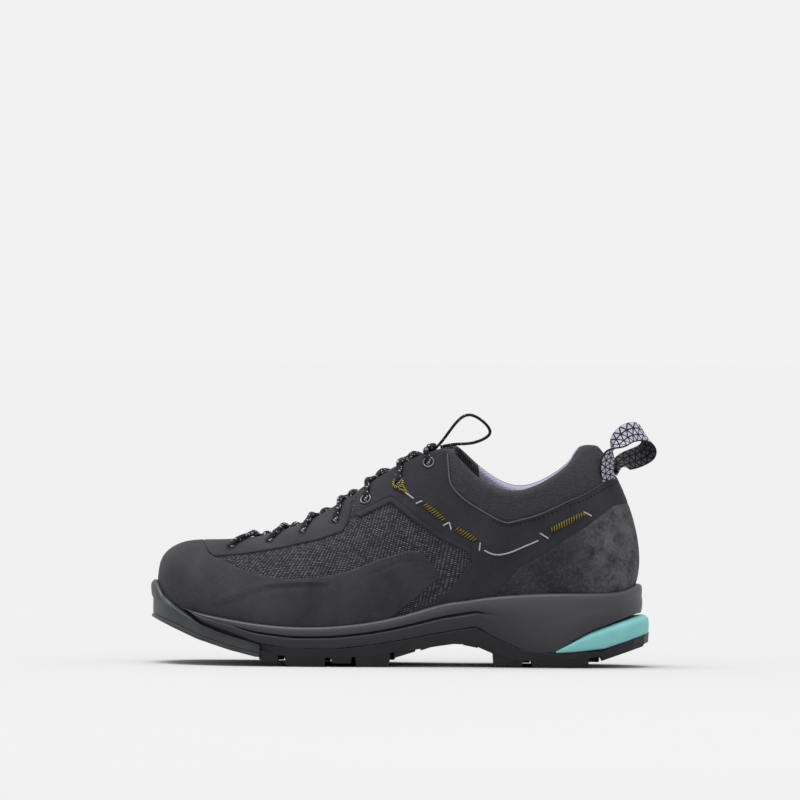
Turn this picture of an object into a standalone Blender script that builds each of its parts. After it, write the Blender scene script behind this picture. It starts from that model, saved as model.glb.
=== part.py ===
"""Left approach shoe: a low hiking and climbing shoe, toe along -X, lateral side along -Y, +Z up.

The origin is on the ground, at the middle of the flat spot under the heel.
The upper is a hollow shell. Ribs run up from the line where it meets the sole to the edge of
its opening, and one table of sections gives each rib's foot, edge and fullness.
"""

import math

import bmesh
import bpy
import numpy as np

MM = 0.001

# Driving sizes of the shoe
SHOE_LENGTH = 276.5 * MM
HALF_BALL = 49.0 * MM
INSTEP_HEIGHT = 121.6 * MM
HEEL_OVERHANG = 46.4 * MM
FIT_GAP = 0.3 * MM

# Walls and layers
WALL = 2.2 * MM
COLLAR_PAD = 4.5 * MM
PAD_SHARE = 0.30
OVERLAY = 1.3 * MM
TONGUE_THICK = 3.6 * MM
CROWN_SHARE = 0.06
INSOLE_THICK = 4.0 * MM
BUMPER_WALL = 3.0 * MM
SOLE_OUT = 3.4 * MM
HEEL_OUT = 3.2 * MM
TOE_INSET = 0.4 * MM
EDGE_ROUND = 0.9 * MM
LUG_INSET = 0.8 * MM
LUG_TAPER = 0.7 * MM
LUG_SPLIT = 3.0 * MM
LUG_ROOT = 1.5 * MM

# Laces, eyelets and webbing
LACE_WIDE = 3.0 * MM
LACE_THIN = 2.0 * MM
LACE_LIFT = 2.2 * MM
RING_LIFT = 1.3 * MM
LACE_CLEAR = 3.4 * MM
BOW_THICK = 2.6 * MM
KNOT_THICK = 4.8 * MM
WEB_WIDE = 12.0 * MM
WEB_THICK = 1.5 * MM
EYELET_HOLE = 2.6 * MM
EYELET_RIM = 0.9 * MM

# Where pieces start and end: along the shoe, then by rib number
BUMPER_REAR_SHARE = 0.795
BUMPER_END_RIB = 3.58
TONGUE_FRONT_RIB = 1.5
TONGUE_TOP_RIB = 7.9

# How finely the ribs and their heights are cut
RIBS_PER_SECTION = 2
HEIGHTS = 9

# One row for each section from the toe, round the side, to the heel.
# foot: where the rib starts, along the shoe and out to each side, and its height.
# edge: where it ends on the opening, in the same way. lift raises the medial edge.
# rise and flare: how the rib leaves the sole. crown_out and crown_up: how it meets the edge.
# Along is a share of SHOE_LENGTH from the heel, out of HALF_BALL, heights of INSTEP_HEIGHT.
SECTION_COLUMNS = (
    "foot_along", "foot_lateral", "foot_medial", "foot_height",
    "edge_along", "edge_lateral", "edge_medial", "edge_height", "lift",
    "rise", "flare", "crown_out", "crown_up",
)
SECTION_ROWS = (
    (0.992, -0.10, 0.10, 0.300, 0.855, -0.02, 0.02, 0.556, 0.000, 0.222, 0.057, 0.63, 0.033),
    (0.976, 0.31, 0.49, 0.290, 0.849, 0.08, 0.12, 0.559, 0.000, 0.222, 0.057, 0.57, 0.030),
    (0.937, 0.63, 0.76, 0.258, 0.826, 0.145, 0.17, 0.566, 0.000, 0.214, 0.053, 0.50, 0.020),
    (0.865, 0.86, 0.89, 0.220, 0.771, 0.180, 0.19, 0.594, 0.000, 0.200, 0.049, 0.42, 0.000),
    (0.747, 0.97, 0.90, 0.184, 0.682, 0.215, 0.22, 0.668, 0.000, 0.200, 0.045, 0.37, -0.025),
    (0.626, 0.93, 0.76, 0.186, 0.595, 0.255, 0.26, 0.790, 0.000, 0.222, 0.041, 0.35, -0.058),
    (0.514, 0.80, 0.61, 0.226, 0.510, 0.305, 0.31, 0.916, 0.000, 0.247, 0.031, 0.31, -0.100),
    (0.423, 0.69, 0.57, 0.284, 0.430, 0.365, 0.36, 0.988, 0.000, 0.263, 0.031, 0.24, -0.148),
    (0.372, 0.66, 0.57, 0.303, 0.392, 0.440, 0.42, 0.960, 0.040, 0.240, 0.035, 0.16, -0.160),
    (0.312, 0.65, 0.59, 0.323, 0.342, 0.570, 0.55, 0.858, 0.052, 0.214, 0.041, 0.08, -0.164),
    (0.200, 0.65, 0.63, 0.339, 0.257, 0.630, 0.61, 0.808, 0.012, 0.181, 0.061, 0.04, -0.148),
    (0.099, 0.55, 0.55, 0.342, 0.168, 0.500, 0.50, 0.920, 0.000, 0.181, 0.082, 0.10, -0.140),
    (0.048, 0.33, 0.33, 0.358, 0.129, 0.290, 0.29, 1.006, 0.000, 0.181, 0.122, 0.20, -0.140),
    (0.024, 0.00, 0.00, 0.382, 0.105, 0.000, 0.00, 1.014, 0.000, 0.184, 0.149, 0.286, -0.140),
)
SECTIONS = len(SECTION_ROWS)
LOOP = 2 * (SECTIONS - 1)

# Lines seen from the side, as (along, height) points in the same shares.
# The foxing is the tough band round the toe and the lower side.
FOXING_TOP = (
    (0.925, 0.700), (0.908, 0.590), (0.888, 0.508), (0.868, 0.485), (0.835, 0.453), (0.793, 0.418),
    (0.760, 0.408), (0.722, 0.398), (0.650, 0.412), (0.597, 0.442), (0.543, 0.493), (0.482, 0.531),
    (0.468, 0.530), (0.455, 0.512), (0.421, 0.428), (0.400, 0.360), (0.380, 0.100),
)
FOXING_FOOT = ((1.100, -0.500), (0.530, -0.100), (0.514, 0.230), (0.421, 0.405), (0.380, 0.500))
EYESTAY_FOOT = (
    (0.925, 0.590), (0.905, 0.540), (0.878, 0.497), (0.813, 0.512), (0.741, 0.540),
    (0.669, 0.578), (0.614, 0.620), (0.603, 0.690),
)
QUARTER_FOOT = (
    (0.620, 0.700), (0.583, 0.683), (0.520, 0.755), (0.479, 0.676), (0.403, 0.545), (0.388, 0.480),
    (0.380, 0.200), (0.325, 0.200), (0.320, 0.300), (0.305, 0.335), (0.284, 0.397), (0.261, 0.464),
    (0.226, 0.506), (0.189, 0.560), (0.127, 0.649), (0.096, 0.701), (0.071, 0.743), (0.000, 0.772),
)
QUARTER_TOP = (
    (0.440, 1.100), (0.409, 0.975), (0.406, 0.890), (0.400, 0.829), (0.377, 0.771), (0.341, 0.719),
    (0.305, 0.674), (0.282, 0.662), (0.251, 0.680), (0.179, 0.746), (0.137, 0.788), (0.096, 0.841),
    (0.067, 0.876), (0.000, 0.880),
)
COUNTER_TOP = (
    (0.320, 0.250), (0.305, 0.323), (0.284, 0.385), (0.261, 0.452), (0.226, 0.494), (0.189, 0.548),
    (0.127, 0.637), (0.096, 0.689), (0.071, 0.731), (0.000, 0.760),
)

# Heights of the sole's layers, as (along, height) lines.
MIDSOLE_FOOT = (
    (1.000, 0.256), (0.932, 0.248), (0.897, 0.196), (0.848, 0.157), (0.790, 0.108), (0.719, 0.081),
    (0.638, 0.081), (0.558, 0.100), (0.500, 0.122), (0.429, 0.153), (0.358, 0.182), (0.345, 0.183),
    (0.323, 0.151), (0.285, 0.110), (0.246, 0.072), (0.218, 0.066), (0.182, 0.070), (0.156, 0.119),
    (0.117, 0.169), (0.065, 0.212), (0.024, 0.245), (0.000, 0.252),
)
OUTSOLE_TOP = MIDSOLE_FOOT[:17] + ((0.094, 0.082), (0.044, 0.126), (0.013, 0.150), (0.000, 0.168))
BUMPER_TOP = (
    (1.000, 0.392), (0.992, 0.375), (0.977, 0.311), (0.952, 0.268), (0.932, 0.236), (0.897, 0.186),
    (0.854, 0.146), (0.780, 0.100),
)
TOE_FOOT = ((1.000, 0.206), (0.908, 0.117), (0.842, 0.070), (0.790, 0.041))
BASE_FOOT = (
    (1.000, 0.215), (0.908, 0.126), (0.842, 0.080), (0.800, 0.055), (0.785, 0.060), (0.745, 0.050),
    (0.670, 0.040), (0.600, 0.042), (0.550, 0.050), (0.500, 0.072), (0.465, 0.080), (0.430, 0.090),
    (0.408, 0.104), (0.380, 0.105), (0.358, 0.100), (0.335, 0.088), (0.318, 0.070), (0.300, 0.040),
    (0.270, 0.030), (0.200, 0.030), (0.120, 0.040), (0.060, 0.070), (0.010, 0.105), (0.000, 0.115),
)

# The midsole's side, top first: how far out, as a share of SOLE_OUT, and how far down.
MIDSOLE_SIDE = (
    (0.35, 0.00), (0.85, 0.07), (1.00, 0.24), (0.97, 0.40), (0.60, 0.46), (0.62, 0.50), (1.05, 0.58),
    (1.12, 0.80), (0.90, 1.00),
)
# Lugs, front to back: along where each starts and ends, the height of its foot at both ends,
# and whether it is one block across the sole or two halves.
LUGS = (
    (0.786, 0.745, 0.030, 0.006, "halves"), (0.733, 0.650, 0.000, 0.000, "halves"),
    (0.640, 0.597, 0.015, 0.015, "halves"), (0.591, 0.520, 0.000, 0.000, "halves"),
    (0.514, 0.468, 0.040, 0.069, "halves"), (0.4615, 0.413, 0.074, 0.107, "halves"),
    (0.376, 0.342, 0.100, 0.087, "halves"), (0.3136, 0.2528, 0.000, 0.000, "halves"),
    (0.2366, 0.119, 0.000, 0.000, "whole"), (0.097, 0.010, 0.031, 0.095, "halves"),
)
# The pull loop's route as (along, out, height), then the way its width runs.
PULL_LOOP = (
    (0.0830, -0.262, 0.868, 0.62, 0.78, 0.10), (0.0867, -0.270, 0.925, 0.62, 0.78, 0.10),
    (0.0837, -0.278, 0.976, 0.55, 0.78, 0.30), (0.0746, -0.265, 1.020, 0.10, 0.70, 0.70),
    (0.0604, -0.230, 1.060, -0.50, 0.40, 0.75), (0.0401, -0.190, 1.079, -0.15, 0.35, 0.93),
    (0.0199, -0.130, 1.080, -0.40, 0.35, 0.85), (0.0016, -0.020, 1.053, -0.55, 0.30, 0.78),
    (-0.0045, 0.080, 1.007, -0.60, 0.20, 0.75), (0.0057, 0.130, 0.979, -0.55, 0.20, 0.80),
    (0.0259, 0.120, 0.960, -0.35, 0.25, 0.90), (0.0442, 0.090, 0.945, -0.40, 0.40, 0.80),
    (0.0570, 0.050, 0.926, -0.45, 0.70, 0.50), (0.0610, 0.010, 0.900, -0.10, 1.00, 0.10),
)
# The bow at the top of the lacing.
KNOT = ((0.446, -0.11, 0.997), (0.440, -0.02, 1.001), (0.434, 0.07, 0.997))
BOW = (
    (0.4300, -0.06, 1.003), (0.4130, -0.16, 1.050), (0.388, -0.26, 1.125), (0.358, -0.28, 1.150),
    (0.326, -0.24, 1.095), (0.330, -0.16, 1.050), (0.360, -0.08, 1.022), (0.392, -0.01, 1.016),
    (0.4225, 0.04, 1.003),
)
# Lace rows by rib number, and what each lace runs through there.
LACE_ROWS = (
    (2.35, "hole"), (3.05, "hole"), (3.72, "hole"), (4.42, "hole"),
    (5.12, "ring"), (5.85, "cord"), (6.60, "ring"),
)


def clear_scene():
    for obj in list(bpy.data.objects):
        bpy.data.objects.remove(obj)


def collection(name):
    made = bpy.data.collections.new(name)
    bpy.context.scene.collection.children.link(made)
    return made


def material(name, colour, roughness, metallic=0.0):
    made = bpy.data.materials.new(name)
    made.use_nodes = True
    shader = made.node_tree.nodes["Principled BSDF"]
    shader.inputs["Base Color"].default_value = (*colour, 1.0)
    shader.inputs["Roughness"].default_value = roughness
    shader.inputs["Metallic"].default_value = metallic
    return made


def x_at(along):
    return HEEL_OVERHANG - np.asarray(along) * SHOE_LENGTH


def along_at(x):
    return (HEEL_OVERHANG - np.asarray(x)) / SHOE_LENGTH


def line_height(line, x):
    """The height of a side line at x, in metres."""
    points = sorted(line)
    return INSTEP_HEIGHT * np.interp(along_at(x), [p[0] for p in points], [p[1] for p in points])


class LoopSpline:
    """A smooth closed curve through evenly numbered rows of values."""

    def __init__(self, rows):
        self.rows = np.asarray(rows, float)
        count = len(self.rows)
        system = 4 * np.eye(count) + np.roll(np.eye(count), 1, 0) + np.roll(np.eye(count), -1, 0)
        change = np.roll(self.rows, -1, 0) - 2 * self.rows + np.roll(self.rows, 1, 0)
        self.bend = np.linalg.solve(system, 6 * change)

    def __call__(self, place):
        count = len(self.rows)
        place = np.mod(np.asarray(place, float), count)
        low = np.floor(place).astype(int) % count
        high = (low + 1) % count
        b = (place - np.floor(place))[..., None]
        a = 1 - b
        curve = (a**3 - a) * self.bend[low] + (b**3 - b) * self.bend[high]
        return a * self.rows[low] + b * self.rows[high] + curve / 6


def section_loop():
    """The section table as one closed loop: toe, lateral side, heel, medial side."""
    table = [dict(zip(SECTION_COLUMNS, row)) for row in SECTION_ROWS]
    order = [(row, -1) for row in table] + [(row, 1) for row in table[-2:0:-1]]
    feet, edges, handles = [], [], []
    for row, side in order:
        key = "lateral" if side < 0 else "medial"
        lift = row["lift"] if side > 0 else 0.0
        foot_out = side * row["foot_" + key] * HALF_BALL
        feet.append((x_at(row["foot_along"]), foot_out, row["foot_height"] * INSTEP_HEIGHT))
        edge_out = side * row["edge_" + key] * HALF_BALL
        edges.append((x_at(row["edge_along"]), edge_out, (row["edge_height"] + lift) * INSTEP_HEIGHT))
        handles.append((
            row["rise"] * INSTEP_HEIGHT, row["flare"] * HALF_BALL,
            row["crown_out"] * HALF_BALL, row["crown_up"] * INSTEP_HEIGHT,
        ))
    return LoopSpline(feet), LoopSpline(edges), LoopSpline(handles)


FEET, EDGES, HANDLES = section_loop()
SMALL_STEP = 1e-3
MERGE = 0.01 * MM


def outward(place):
    """The level direction out of the shoe where rib number place starts."""
    run = FEET(np.asarray(place) + SMALL_STEP) - FEET(np.asarray(place) - SMALL_STEP)
    out = np.stack([run[..., 1], -run[..., 0], np.zeros_like(run[..., 0])], axis=-1)
    return out / np.linalg.norm(out, axis=-1, keepdims=True)


def bare_last(place, height):
    """A point of the last: place counts the sections round the shoe, height runs 0 to 1 up a rib."""
    place, height = np.broadcast_arrays(np.asarray(place, float), np.asarray(height, float))
    foot, edge, handle = FEET(place), EDGES(place), HANDLES(place)
    out = outward(place)
    up = np.array([0.0, 0.0, 1.0])
    low = foot + handle[..., 0:1] * up + handle[..., 1:2] * out
    high = edge + handle[..., 2:3] * out + handle[..., 3:4] * up
    h = height[..., None]
    g = 1 - h
    return g**3 * foot + 3 * g * g * h * low + 3 * g * h * h * high + h**3 * edge


def last_normal(place, height):
    place, height = np.broadcast_arrays(np.asarray(place, float), np.asarray(height, float))
    low = np.clip(height - SMALL_STEP, 0, 1)
    high = np.clip(height + SMALL_STEP, 0, 1)
    round_shoe = bare_last(place + SMALL_STEP, height) - bare_last(place - SMALL_STEP, height)
    up_rib = bare_last(place, high) - bare_last(place, low)
    normal = np.cross(round_shoe, up_rib)
    return normal / np.linalg.norm(normal, axis=-1, keepdims=True)


def last(place, height, offset=0.0):
    """A point of the upper's outer face, moved out by offset."""
    offset = np.asarray(offset, float)
    return bare_last(place, height) + last_normal(place, height) * offset[..., None]


def height_on_line(place, line, offset=0.0):
    """How far up rib number place a side line crosses it, from 0 to 1."""
    tries = np.linspace(0, 1, 161)
    points = last(np.full(tries.shape, float(place)), tries, offset)
    above = points[:, 2] - line_height(line, points[:, 0])
    over = np.nonzero(above > 0)[0]
    if len(over) == 0:
        return 1.0
    first = over[0]
    if first == 0:
        return 0.0
    share = above[first - 1] / (above[first - 1] - above[first])
    return float(tries[first - 1] + share * (tries[first] - tries[first - 1]))


def new_object(name, points, faces, group, look):
    mesh = bpy.data.meshes.new(name)
    mesh.from_pydata([tuple(map(float, p)) for p in points], [], faces)
    obj = bpy.data.objects.new(name, mesh)
    group.objects.link(obj)
    work = bmesh.new()
    work.from_mesh(mesh)
    bmesh.ops.remove_doubles(work, verts=work.verts, dist=MERGE)
    bmesh.ops.recalc_face_normals(work, faces=work.faces)
    work.to_mesh(mesh)
    work.free()
    mesh.materials.append(look)
    return obj


def slab(name, outer, inner, group, look, closed=False):
    """A solid between two grids of points, outer and inner, each indexed [along][across]."""
    rows, cols = outer.shape[:2]
    points = np.concatenate([outer.reshape(-1, 3), inner.reshape(-1, 3)])
    half = rows * cols

    def at(row, col, layer):
        return layer * half + (row % rows) * cols + col

    faces = []
    for row in range(rows if closed else rows - 1):
        for col in range(cols - 1):
            for layer in (0, 1):
                near = (at(row, col, layer), at(row + 1, col, layer))
                faces.append((*near, at(row + 1, col + 1, layer), at(row, col + 1, layer)))
        for col in (0, cols - 1):
            faces.append((at(row, col, 0), at(row + 1, col, 0), at(row + 1, col, 1), at(row, col, 1)))
    if not closed:
        for row in (0, rows - 1):
            for col in range(cols - 1):
                faces.append((at(row, col, 0), at(row, col + 1, 0), at(row, col + 1, 1), at(row, col, 1)))
    return new_object(name, points, faces, group, look)


def stack(name, rings, group, look, shift=0):
    """A solid from closed rings, top one first. shift is 1 for a ring cut off in front."""
    count = len(rings[0])
    points = np.concatenate(rings)
    faces = []
    for level in range(len(rings) - 1):
        for i in range(count):
            j = (i + 1) % count
            above, below = level * count, (level + 1) * count
            faces.append((above + i, above + j, below + j, below + i))
    for base in (0, (len(rings) - 1) * count):
        for i in range(count // 2):
            a, b = i, i + 1
            c, d = (count - shift - i - 1) % count, (count - shift - i) % count
            corners = []
            for k in (a, b, c, d):
                if base + k not in corners:
                    corners.append(base + k)
            if len(corners) > 2:
                faces.append(tuple(corners))
    return new_object(name, points, faces, group, look)


def tube(name, route, radius, group, look, sides=6, flat=1.0):
    """A closed tube along a route of points. flat squeezes its height."""
    route = [np.asarray(p, float) for p in route]
    points, faces = [], []
    up_hint = np.array([0.0, 0.0, 1.0])
    for i, p in enumerate(route):
        run = route[min(i + 1, len(route) - 1)] - route[max(i - 1, 0)]
        run = run / np.linalg.norm(run)
        side = np.cross(run, up_hint)
        side = side / np.linalg.norm(side)
        top = np.cross(side, run)
        for k in range(sides):
            turn = 2 * math.pi * (k + 0.5) / sides
            points.append(p + radius * (math.cos(turn) * side + flat * math.sin(turn) * top))
    for i in range(len(route) - 1):
        for k in range(sides):
            n = (k + 1) % sides
            faces.append((i * sides + k, i * sides + n, (i + 1) * sides + n, (i + 1) * sides + k))
    faces.append(tuple(range(sides)))
    faces.append(tuple((len(route) - 1) * sides + k for k in range(sides)))
    return new_object(name, points, faces, group, look)


def spline_through(points, count):
    """count points on a smooth open curve through a few hand-placed ones."""
    rows = np.asarray(points, float)
    knots = len(rows)
    system, change = np.eye(knots), np.zeros_like(rows)
    for i in range(1, knots - 1):
        system[i, i - 1:i + 2] = (1, 4, 1)
        change[i] = 6 * (rows[i + 1] - 2 * rows[i] + rows[i - 1])
    bend = np.linalg.solve(system, change)
    place = np.linspace(0, knots - 1, count)
    low = np.minimum(place.astype(int), knots - 2)
    b = (place - low)[:, None]
    a = 1 - b
    return a * rows[low] + b * rows[low + 1] + ((a**3 - a) * bend[low] + (b**3 - b) * bend[low + 1]) / 6


def join_into(target, others, operation="UNION"):
    """Joins or cuts target with each of the others, for good."""
    for other in others:
        modifier = target.modifiers.new("join", "BOOLEAN")
        modifier.operation = operation
        modifier.solver = "EXACT"
        modifier.object = other
        graph = bpy.context.evaluated_depsgraph_get()
        done = bpy.data.meshes.new_from_object(target.evaluated_get(graph))
        target.modifiers.clear()
        target.data = done
        bpy.data.objects.remove(other)
    return target


ALL_PLACES = np.arange(0, LOOP, 1 / RIBS_PER_SECTION)
SKIN = -(OVERLAY + 2.0 * FIT_GAP)


def smooth_step(value, low, high):
    share = np.clip((np.asarray(value, float) - low) / (high - low), 0, 1)
    return share * share * (3 - 2 * share)


def collar_share(place):
    """1 where the padded collar runs, 0 along the lacing and the toe."""
    from_toe = np.minimum(np.mod(place, LOOP), LOOP - np.mod(place, LOOP))
    return smooth_step(from_toe, 8.0, 9.0)


def wall_at(place, height):
    pad = smooth_step(height, 1 - PAD_SHARE, 1 - 0.35 * PAD_SHARE) * collar_share(place)
    return WALL + COLLAR_PAD * pad


def make_upper(group, look):
    place, height = np.meshgrid(ALL_PLACES, np.linspace(0, 1, HEIGHTS + 1), indexing="ij")
    outer = last(place, height, np.full(place.shape, SKIN))
    inner = last(place, height, SKIN - wall_at(place, height))
    return slab("upper", outer, inner, group, look, closed=True)


def on_facets(place, height, offset):
    """A point of the upper as it is cut into facets, for pieces that lie on it."""
    level = min(int(height * HEIGHTS), HEIGHTS - 1)
    share = height * HEIGHTS - level
    low = last(place, level / HEIGHTS, offset)
    high = last(place, (level + 1) / HEIGHTS, offset)
    return low * (1 - share) + high * share


def panel(name, places, foot, top, group, look):
    """An overlay on the upper. foot and top give each rib's two heights on it."""
    outer, inner = [], []
    for place in places:
        low = foot(place)
        high = max(top(place), low + 0.03)
        heights = np.clip(np.linspace(0, 1, HEIGHTS + 1), low, high)
        outer.append([on_facets(place, h, 0.0) for h in heights])
        inner.append([on_facets(place, h, -OVERLAY) for h in heights])
    return slab(name, np.array(outer), np.array(inner), group, look)


def places_between(front, rear):
    """Rib numbers from front to rear, both ends and every rib of the upper between."""
    inside = [p for p in np.arange(-LOOP, 2 * LOOP, 1 / RIBS_PER_SECTION) if front + 0.1 < p < rear - 0.1]
    return np.array([front, *inside, rear])


def make_overlays(group, tough, smooth, rough):
    foxing_top = lambda p: height_on_line(p, FOXING_TOP)
    foxing_foot = lambda p: height_on_line(p, FOXING_FOOT)
    panel("foxing", places_between(-6.9, 6.9), foxing_foot, foxing_top, group, tough)
    eyestay_foot = lambda p: max(height_on_line(p, EYESTAY_FOOT), foxing_top(p) + 0.03)
    panel("eyestay", places_between(-4.85, 4.85), eyestay_foot, lambda p: 1.0, group, tough)
    quarter_foot = lambda p: height_on_line(p, QUARTER_FOOT)
    quarter_top = lambda p: height_on_line(p, QUARTER_TOP)
    panel("quarter", places_between(5.0, LOOP - 5.0), quarter_foot, quarter_top, group, smooth)
    counter_top = lambda p: height_on_line(p, COUNTER_TOP)
    panel("heel_counter", places_between(9.1, LOOP - 9.1), lambda p: 0.0, counter_top, group, rough)


def foot_ring(places, out, line=None, heights=None):
    """A ring round the shoe, out from the upper's foot, on a side line or at given heights."""
    ring = FEET(places) + outward(places) * np.asarray(out)[..., None]
    ring[:, 2] = line_height(line, ring[:, 0]) if heights is None else heights
    return ring


def make_midsole(group, look):
    foot = FEET(ALL_PLACES)
    cover = smooth_step(along_at(foot[:, 0]), 0.925, 0.940)
    top = foot[:, 2] - FIT_GAP
    rings = []
    for share, down in MIDSOLE_SIDE:
        reach = share * SOLE_OUT * (1 - cover) - TOE_INSET * cover
        ring = foot_ring(ALL_PLACES, reach, MIDSOLE_FOOT)
        ring[:, 2] = top + (ring[:, 2] - top) * down
        rings.append(ring)
    return stack("midsole", rings, group, look)


def outsole_reach(places):
    """How far the outsole stands out: more round the heel, and hidden behind the toe bumper."""
    along = along_at(FEET(places)[:, 0])
    cover = smooth_step(along, BUMPER_REAR_SHARE - 0.006, BUMPER_REAR_SHARE + 0.006)
    reach = SOLE_OUT + HEEL_OUT * (1 - smooth_step(along, 0.02, 0.12))
    return reach * (1 - cover) - TOE_INSET * cover


def side_out(along, side):
    """How far out the sole's foot ring is at one place along the shoe."""
    places = np.linspace(0.2, SECTIONS - 1.02, 120)
    if side > 0:
        places = LOOP - places
    ring = FEET(places) + outward(places) * outsole_reach(places)[:, None]
    order = np.argsort(along_at(ring[:, 0]))
    return np.interp(along, along_at(ring[:, 0])[order], ring[order, 1])


def make_lug(front, rear, height_front, height_rear, form, side, group, look):
    """One lug: a block under half of the sole, or all of it, its edge just inside the sole's."""
    along = np.linspace(front, rear, 4)
    edge = side_out(along, side) - side * LUG_INSET
    middle = np.full(along.shape, side * LUG_SPLIT)
    if form == "whole":
        middle = side_out(along, -side) + side * LUG_INSET
    foot = INSTEP_HEIGHT * np.linspace(height_front, height_rear, len(along))
    head = line_height(BASE_FOOT, x_at(along)) + LUG_ROOT
    rings = []
    for height, shrink in ((head, 0.0), (foot, LUG_TAPER)):
        x = x_at(along) + shrink * np.array([1, 0.3, -0.3, -1])
        outer = np.stack([x, edge - side * shrink, height], axis=1)
        inner = np.stack([x, middle + side * shrink, height], axis=1)
        rings.append(np.concatenate([outer, inner[::-1]]))
    return stack("lug", rings, group, look, shift=1)


def make_outsole(group, look):
    reach = outsole_reach(ALL_PLACES)
    cover = smooth_step(along_at(FEET(ALL_PLACES)[:, 0]), 0.925, 0.940)
    interface = MIDSOLE_SIDE[-1][0] * SOLE_OUT * (1 - cover) - TOE_INSET * cover
    interface = np.minimum(interface, reach)
    rings = [
        foot_ring(ALL_PLACES, interface, OUTSOLE_TOP),
        foot_ring(ALL_PLACES, reach, OUTSOLE_TOP),
        foot_ring(ALL_PLACES, reach - 0.4 * MM, BASE_FOOT),
    ]
    rings[0][:, 2] -= FIT_GAP
    rings[1][:, 2] -= EDGE_ROUND
    body = stack("outsole", rings, group, look)
    lugs = []
    for row in LUGS:
        for side in (-1, 1) if row[-1] == "halves" else (-1,):
            lugs.append(make_lug(*row, side, group, look))
    return join_into(body, lugs)


def make_heel_insert(group, look):
    places = np.concatenate([[10.25], np.arange(10.5, LOOP - 10.4, 0.5), [LOOP - 10.25]])
    reach = outsole_reach(places)
    inner = np.full(places.shape, MIDSOLE_SIDE[-1][0] * SOLE_OUT)
    rings = [
        foot_ring(places, inner, MIDSOLE_FOOT),
        foot_ring(places, reach - 0.8 * MM, MIDSOLE_FOOT),
        foot_ring(places, reach - 0.6 * MM, OUTSOLE_TOP),
        foot_ring(places, inner, OUTSOLE_TOP),
    ]
    rings[0][:, 2] -= FIT_GAP
    rings[1][:, 2] -= FIT_GAP + EDGE_ROUND * 0.3
    rings[2][:, 2] += 0.2 * MM
    return stack("heel_insert", rings, group, look, shift=1)


def bumper_point(place, level, offset):
    """level runs from -1 at the bumper's foot to 0 where the upper starts, then up the rib."""
    if level >= 0:
        return last(place, level, offset)
    foot = FEET(place) + outward(place) * (offset - TOE_INSET)
    low = line_height(TOE_FOOT, foot[0])
    foot[2] += level * (foot[2] - low)
    return foot


def make_toe_bumper(group, look):
    outer, inner = [], []
    for place in places_between(-BUMPER_END_RIB, BUMPER_END_RIB):
        foot = FEET(place)
        top = line_height(BUMPER_TOP, foot[0])
        low = line_height(TOE_FOOT, foot[0])
        if top > foot[2] + 0.5 * MM:
            high = height_on_line(place, BUMPER_TOP)
        else:
            high = -(foot[2] - top + FIT_GAP) / (foot[2] - low)
        levels = -1 + (high + 1) * np.linspace(0, 1, 8)
        inner.append([bumper_point(place, level, 0.5 * MM) for level in levels])
        outer.append([bumper_point(place, level, 0.5 * MM + BUMPER_WALL) for level in levels])
    return slab("toe_bumper", np.array(outer), np.array(inner), group, look)


def make_insole(group, look):
    foot = FEET(ALL_PLACES)
    inset = SKIN - WALL - 0.6 * MM
    rings = [
        foot_ring(ALL_PLACES, np.full(len(foot), inset - 1.0 * MM), heights=foot[:, 2] + INSOLE_THICK),
        foot_ring(ALL_PLACES, np.full(len(foot), inset), heights=foot[:, 2] + 0.7 * INSOLE_THICK),
        foot_ring(ALL_PLACES, np.full(len(foot), inset - 0.4 * MM), heights=foot[:, 2]),
    ]
    return stack("insole", rings, group, look)


def throat(place, across, lift):
    """A point over the throat: across runs -1 to 1 between the two edges, over the tongue's crown."""
    depth = SKIN - WALL - FIT_GAP * 2
    left, right = last(place, 1.0, depth), last(LOOP - place, 1.0, depth)
    middle = 0.5 * (left + right)
    bulge = CROWN_SHARE * np.linalg.norm(right - left)
    point = middle + 0.5 * (right - left) * across
    run = EDGES(place + 0.05) - EDGES(place - 0.05)
    slope = math.hypot(run[0], run[2])
    up = np.array([-run[2] / slope * math.copysign(1, run[0]), 0.0, abs(run[0]) / slope])
    return point + up * (bulge * (1 - across * across) + lift)


def make_tongue(group, look):
    outer, inner = [], []
    for place in np.linspace(TONGUE_FRONT_RIB, TONGUE_TOP_RIB, 15):
        depth = SKIN - WALL - FIT_GAP * 2
        row_out, row_in = [], []
        for height in (0.80, 0.90):
            row_out.append(last(place, height, depth))
            row_in.append(last(place, height, depth - TONGUE_THICK))
        for across in np.linspace(-1, 1, 7):
            row_out.append(throat(place, across, 0.0))
            row_in.append(throat(place, across * 0.86, -TONGUE_THICK))
        for height in (0.90, 0.80):
            row_out.append(last(LOOP - place, height, depth))
            row_in.append(last(LOOP - place, height, depth - TONGUE_THICK))
        outer.append(row_out)
        inner.append(row_in)
    return slab("tongue", np.array(outer), np.array(inner), group, look)


def lace_end(row, side, height):
    place, fitting = LACE_ROWS[row]
    place = place if side < 0 else LOOP - place
    return last(place, height, LACE_LIFT + (RING_LIFT if fitting == "ring" else 0.0))


def crossing(row, side):
    """The route of one lace from row on one side to the next row on the other."""
    start, end = LACE_ROWS[row][0], LACE_ROWS[row + 1][0]
    points = [lace_end(row, side, 0.93), lace_end(row, side, 1.0)]
    for share in (0.3, 0.5, 0.7):
        across = side * (1 - 2 * share)
        points.append(throat(start + (end - start) * share, across, LACE_CLEAR))
    return points + [lace_end(row + 1, -side, 1.0), lace_end(row + 1, -side, 0.93)]


def make_laces(group, look):
    """Both lace strands with all their crossings, one joined solid."""
    strands = []
    for first in (-1, 1):
        route, side = [], first
        for row in range(len(LACE_ROWS) - 1):
            route += crossing(row, side)[0 if row == 0 else 1:]
            side = -side
        route = spline_through(route, 61)
        strands.append(tube("laces", route, LACE_WIDE / 2, group, look, 6, LACE_THIN / LACE_WIDE))
    return join_into(strands[0], strands[1:])


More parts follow.
